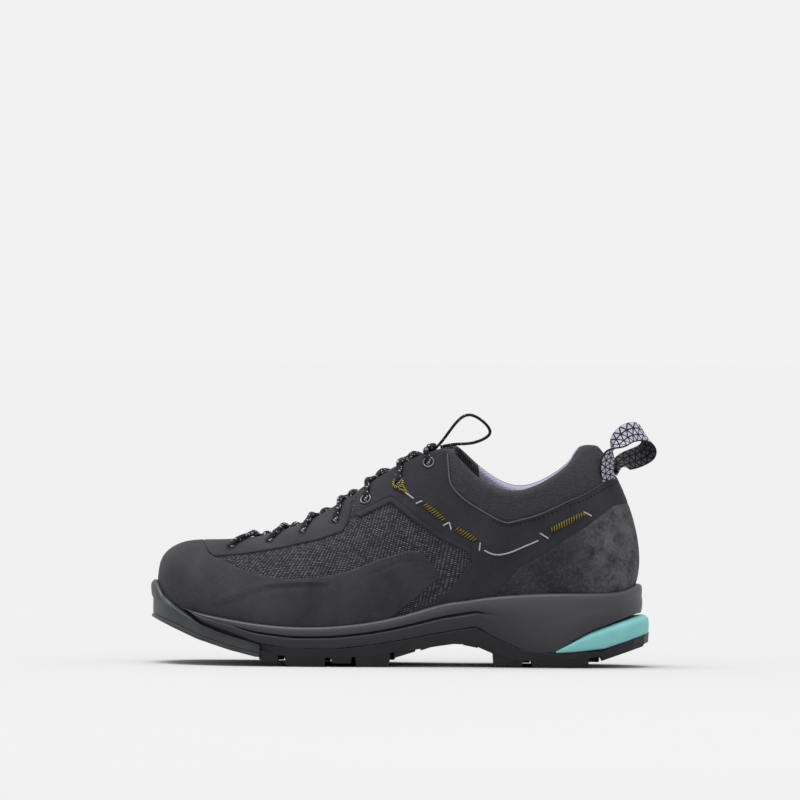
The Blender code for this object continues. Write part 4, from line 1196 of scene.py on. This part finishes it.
# Decorative thread on each side, as (along, height): plain lines, and bars of short cross threads
threadLines = (
    ((0.496, 0.799), (0.486, 0.783), (0.476, 0.766)), ((0.472, 0.744), (0.458, 0.758)),
    ((0.417, 0.645), (0.404, 0.660), (0.400, 0.627)), ((0.341, 0.569), (0.343, 0.532)),
    ((0.333, 0.535), (0.320, 0.520), (0.302, 0.515), (0.277, 0.529), (0.251, 0.555), (0.224, 0.582)),
    ((0.221, 0.615), (0.204, 0.591)), ((0.134, 0.714), (0.117, 0.694)),
)
threadBars = (
    ((0.455, 0.742), (0.417, 0.674)), ((0.391, 0.633), (0.350, 0.579)), ((0.200, 0.628), (0.133, 0.705)),
)
threadValues = {
    "radius": 0.42 * mm, "barRadius": 0.36 * mm, "barHalf": 1.7 * mm, "barStep": 0.78 * mm, "lift": 0.25 * mm,
    "seamRadius": 0.30 * mm, "seamDash": 1.7 * mm, "seamGap": 1.1 * mm, "pipe": 0.45 * mm, "pipeTaper": 0.7,
    "seamPoints": 160, "dashFrom": 66, "dashDrop": 0.032,  # points on the seam, first dash, share below it
}
searchPlaces, searchHeights = np.meshgrid(np.linspace(0.5, 12.9, 420), np.linspace(0.1, 1, 150), indexing="ij")
searchPoints = bareLast(searchPlaces, searchHeights)


def onSide(line):
    # Where side-view points lie on the upper, as place round the shoe and share up the rib
    found = []
    for along, high in line:
        aim = np.array([float(xAt(along)), high * shoe["instepHeight"]])
        miss = np.hypot(searchPoints[..., 0] - aim[0], searchPoints[..., 2] - aim[1])
        nearest = np.unravel_index(np.argmin(miss), miss.shape)
        spot = np.array([searchPlaces[nearest], searchHeights[nearest]])
        for step in range(4):
            here = bareLast(*spot)[[0, 2]]
            byPlace = (bareLast(spot[0] + 1e-3, spot[1])[[0, 2]] - here) / 1e-3
            byHeight = (bareLast(spot[0], spot[1] + 1e-3)[[0, 2]] - here) / 1e-3
            move = np.linalg.lstsq(np.stack([byPlace, byHeight], axis=1), aim - here, rcond=None)[0]
            spot = spot + np.clip(move, -0.05, 0.05)
        found.append((spot[0], min(spot[1], 1.0)))
    return np.array(found)


def onSurface(spots, side, offset):
    return lastPoint(onFoot(spots[:, 0], side), spots[:, 1], offset)


def capsule(route, radius, taper=0.0):
    # A thread end to end along a route, rounded down at both ends; taper thins its last part
    route = np.asarray(route, float)
    gone = lengthsAlong(route)
    edge = np.minimum(gone, gone[-1] - gone) / radius
    thin = 1 - taper * smoothStep(gone / gone[-1], 0.45, 0.95)
    return tubeGrid(route, radius * thin * np.sqrt(np.clip(0.15 + edge, 0.15, 1.0)), 8)


def seamDashes(spots, side, offset, radius, dash, gap):
    route = evenly(onSurface(spots, side, offset), 0.3 * mm)
    count, skip = int(dash / (0.3 * mm)) + 1, int((dash + gap) / (0.3 * mm))
    return [capsule(route[i:i + count], radius) for i in range(0, len(route) - count, skip)]


def makeStitches():
    v = threadValues
    lilac, yellow, dark = [], [], []
    for side in (-1, 1):
        for line in threadLines:
            spots = onSide(line)
            fine = splineThrough(spots, 40) if len(line) > 3 else evenly(spots, 0.004)
            lilac.append(capsule(evenly(onSurface(fine, side, v["lift"]), 0.35 * mm), v["radius"]))
        for bar in threadBars:
            ends = onSurface(onSide(bar), side, 0.0)
            count = int(np.linalg.norm(ends[1] - ends[0]) / v["barStep"])
            first, last = np.array(bar)
            middle = onSide([first + (last - first) * k / count for k in range(count + 1)])
            line = onSurface(middle, side, v["lift"])
            for k in range(count + 1):
                normal = lastNormal(onFoot(middle[k, 0], side), middle[k, 1])
                run = unit(line[-1] - line[0])
                across = np.cross(normal, run)
                taper = 0.35 + 0.65 * math.sin(math.pi * (0.08 + 0.84 * k / count)) ** 0.5
                lean = 0.45 * run * v["barHalf"]
                half = (across * v["barHalf"] + lean) * taper
                arc = [line[k] + half * t + normal * 0.45 * mm * (1 - t * t) for t in np.linspace(-1, 1, 9)]
                (yellow if k % 2 else dark).append(capsule(arc, v["barRadius"]))
    for name, grids, look, low, high, pitch in (
        ("lilacThread", lilac, "threadLilac", (0.34, 0.33, 0.38), (0.56, 0.54, 0.62), 0.7),
        ("yellowThread", yellow, "threadYellow", (0.15, 0.118, 0.018), (0.30, 0.240, 0.036), 0.6),
        ("darkThread", dark, "threadDark", (0.006, 0.006, 0.006), (0.016, 0.015, 0.013), 0.6),
    ):
        tubePiece(name, grids, stripeLook(look, low, high, pitch))


def makeSeams():
    v = threadValues
    dashes, highlightTubes = [], []
    # A lighter grey cord along the side panel's top edge stands in as a painted highlight where the edge
    # catches the light
    fine = splineThrough(onSide(quarterTop[1:-1]), v["seamPoints"])
    for side in (-1, 1):
        highlightTubes.append(capsule(evenly(onSurface(fine, side, 0.10 * mm), 0.6 * mm), v["pipe"], v["pipeTaper"]))
        low = fine[v["dashFrom"]:].copy()
        low[:, 1] -= v["dashDrop"]
        dashes += seamDashes(low, side, 0.10 * mm, v["seamRadius"], v["seamDash"], v["seamGap"])
    # The cord's lighter grey is a painted highlight along the side panel's top edge
    edgeHighlightLook = stripeLook("edgeHighlightCord", (0.075, 0.074, 0.080), (0.115, 0.113, 0.120), 0.9)
    charcoal = stripeLook("threadCharcoal", (0.006, 0.006, 0.007), (0.014, 0.014, 0.016), 0.7)
    tubePiece("seamEdgeHighlight", highlightTubes, edgeHighlightLook)
    tubePiece("seamThread", dashes, charcoal)


makeInsole()
makeTongue()
makeLaces()
makeBow()
makeEyelets()
makePullLoop()
print("laces and loops made")
makeStitches()
makeSeams()
print("stitching made")

# Lens in millimetres, stand and aim in metres, roll in degrees
camera = {"lens": 401.4, "stand": (-0.0934, -5.000, 0.190), "aim": (-0.0934, -0.035, 0.1483), "roll": 0.54}


def makeCamera():
    made = newObject("camera", bpy.data.cameras.new("camera"))
    made.data.lens = camera["lens"]
    made.data.clip_end = 60
    made.location = camera["stand"]
    look = Vector(camera["aim"]) - made.location
    turn = look.to_track_quat("-Z", "Y").to_matrix() @ Matrix.Rotation(math.radians(camera["roll"]), 3, "Z")
    made.rotation_euler = turn.to_euler()
    bpy.context.scene.camera = made


studio = {
    "surround": (0.885, 0.885, 0.885),  # what shows behind the shoe
    "paper": 0.45, "floorHalf": 40.0,
    "keyStrength": 3.38, "keyAngle": 36.0, "keyFrom": (-0.16, 0.02, 1.0),
    "boxPower": 0.35, "boxSize": (1.2, 0.5), "boxStand": (0.10, -1.1, 0.75), "boxAim": (-0.09, 0, 0.05),
}


def makeStage():
    # A wide floor as bright as the surround, a soft sun from above and one soft box in front
    v = studio
    mesh = bpy.data.meshes.new("floor")
    half = v["floorHalf"]
    corners = [(x, y, -0.2 * mm) for x, y in ((-half, -half), (half, -half), (half, half), (-half, half))]
    mesh.from_pydata(corners, [], [(0, 1, 2, 3)])
    look = shader("floorPaper", (v["paper"],) * 3, 1.0, 0.0)
    n = Nodes(look)
    n.to("Base Color", n.ramp(n.noise(3.0), (v["paper"] - 0.004,) * 3, (v["paper"] + 0.004,) * 3))
    mesh.materials.append(look)
    newObject("floor", mesh)
    world = bpy.data.worlds.new("studio")
    world.use_nodes = True
    world.node_tree.nodes["Background"].inputs["Color"].default_value = (*v["surround"], 1)
    bpy.context.scene.world = world
    sun = newObject("keyLight", bpy.data.lights.new("keyLight", "SUN"))
    sun.data.energy, sun.data.angle = v["keyStrength"], math.radians(v["keyAngle"])
    sun.rotation_euler = Vector(v["keyFrom"]).to_track_quat("Z", "Y").to_euler()
    box = newObject("softBox", bpy.data.lights.new("softBox", "AREA"))
    box.data.shape = "RECTANGLE"
    box.data.size, box.data.size_y = v["boxSize"]
    box.data.energy = v["boxPower"]
    box.location = v["boxStand"]
    box.rotation_euler = (box.location - Vector(v["boxAim"])).to_track_quat("Z", "Y").to_euler()
    bpy.context.scene.view_settings.view_transform = "Standard"


makeCamera()
makeStage()
print("scene made")
